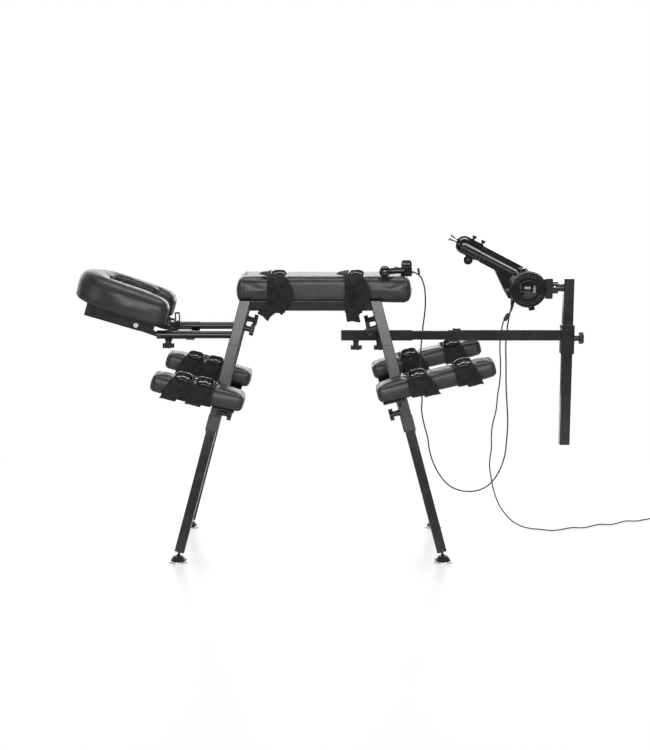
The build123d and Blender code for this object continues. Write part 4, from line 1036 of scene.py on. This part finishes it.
# each bead's name, height, half width and thickness
LEG_BEADS = (("seam", 0.628, 0.0160, 0.0005), ("collar_lip", 0.3825, 0.0174, 0.0009),
             ("collar_top", 0.4238, 0.0174, 0.0008))


def leg_spot(end, side, z):
    """Point of a leg's axis at height z."""
    rise = z - LEG_END
    return Vector((LEG_CENTRE + end * (LEG_REACH_X - rise * RAKE), side * (LEG_REACH_Y - rise * SPLAY), z))


def square_bead(name, body, matrix, half, thick):
    """A thin bead round a square tube."""
    corner, points = 0.0026, []
    for x, y, start in ((1, 1, 0), (-1, 1, 90), (-1, -1, 180), (1, -1, 270)):
        for i in range(5):
            turn = math.radians(start + 22.5 * i)
            points.append((x * (half - corner) + corner * math.cos(turn),
                           y * (half - corner) + corner * math.sin(turn), 0))
    return place(line_piece(name, [points], thick), body, "black_plastic", matrix=matrix)


for end_name, end in (("front", -1), ("rear", 1)):
    for side_name, side in (("left", -1), ("right", 1)):
        up = (leg_spot(end, side, 1.0) - leg_spot(end, side, 0.0)).normalized()
        for label, z, half, thick in LEG_BEADS:
            matrix = basis(leg_spot(end, side, z), (1, 0, 0), up)
            square_bead(f"leg_{label}_{end_name}_{side_name}", "bench", matrix, half, thick)


# ---- floor, light and finish -----------------------------------------------------------------------------
FLOOR_RADIUS, FADE_START, FADE_END = 2.4, 0.9, 1.7


def floor_material():
    """Pale studio floor, fading to the white of the backdrop away from the object."""
    finish = Finish("studio_floor", 0.3, specular=0.4)
    finish.colour(finish.noise(0.8, 2), (0.8, 0.8, 0.805), (0.84, 0.84, 0.84))
    finish.rough(finish.noise(3, 3), 0.26, 0.36)
    reach = finish.nodes.new("ShaderNodeVectorMath")
    reach.operation = "LENGTH"
    finish.links.new(finish.place, reach.inputs[0])
    fade = finish.node("ShaderNodeMapRange", From_Min=FADE_START, From_Max=FADE_END, To_Min=0.62, To_Max=1.0)
    finish.links.new(reach.outputs["Value"], fade.inputs["Value"])
    seen = finish.nodes.new("ShaderNodeMath")
    seen.operation = "MULTIPLY"
    finish.links.new(fade.outputs["Result"], seen.inputs[0])
    finish.links.new(finish.nodes.new("ShaderNodeLightPath").outputs["Is Camera Ray"], seen.inputs[1])
    white = finish.node("ShaderNodeEmission", Strength=1.0)
    mix = finish.nodes.new("ShaderNodeMixShader")
    finish.links.new(seen.outputs["Value"], mix.inputs["Fac"])
    finish.links.new(finish.shader.outputs["BSDF"], mix.inputs[1])
    finish.links.new(white.outputs["Emission"], mix.inputs[2])
    finish.links.new(mix.outputs["Shader"], finish.nodes["Material Output"].inputs["Surface"])
    return finish.material


bm = bmesh.new()
bmesh.ops.create_circle(bm, cap_ends=True, segments=96, radius=FLOOR_RADIUS)
floor = mesh_piece("floor", bm)
floor.location.z = -0.0004
scene.collection.objects.link(floor)
paint(floor, floor_material())


def softbox(name, spot, target, width, height, power):
    light = bpy.data.lights.new(name, "AREA")
    light.shape = "RECTANGLE"
    light.size, light.size_y = width, height
    light.energy = power
    lamp = bpy.data.objects.new(name, light)
    lamp.location = spot
    lamp.rotation_euler = (Vector(target) - Vector(spot)).to_track_quat("-Z", "Y").to_euler()
    scene.collection.objects.link(lamp)


softbox("front", (0.0, -4.7, 1.85), (0.0, 0.0, 1.15), 5.0, 1.7, 200)
softbox("top", (0.0, 0.1, 3.2), (0.0, 0.0, 0.6), 3.4, 0.9, 60)
softbox("back", (0.0, 4.4, 1.5), (0.0, 0.0, 1.1), 9.0, 2.6, 230)
softbox("left", (-3.6, -1.2, 1.5), (0.0, 0.0, 0.7), 1.0, 1.8, 16)
softbox("right", (3.6, -1.2, 1.5), (0.0, 0.0, 0.7), 1.0, 1.8, 16)

world = bpy.data.worlds.new("studio")
world.use_nodes = True
scene.world = world
links, sky = world.node_tree.links, world.node_tree.nodes["Background"]
sky.inputs["Color"].default_value = (1, 1, 1, 1)
lit = world.node_tree.nodes.new("ShaderNodeMapRange")
lit.inputs["To Min"].default_value, lit.inputs["To Max"].default_value = 0.16, 1.0
links.new(world.node_tree.nodes.new("ShaderNodeLightPath").outputs["Is Camera Ray"], lit.inputs["Value"])
links.new(lit.outputs["Result"], sky.inputs["Strength"])
scene.view_settings.view_transform = "Standard"
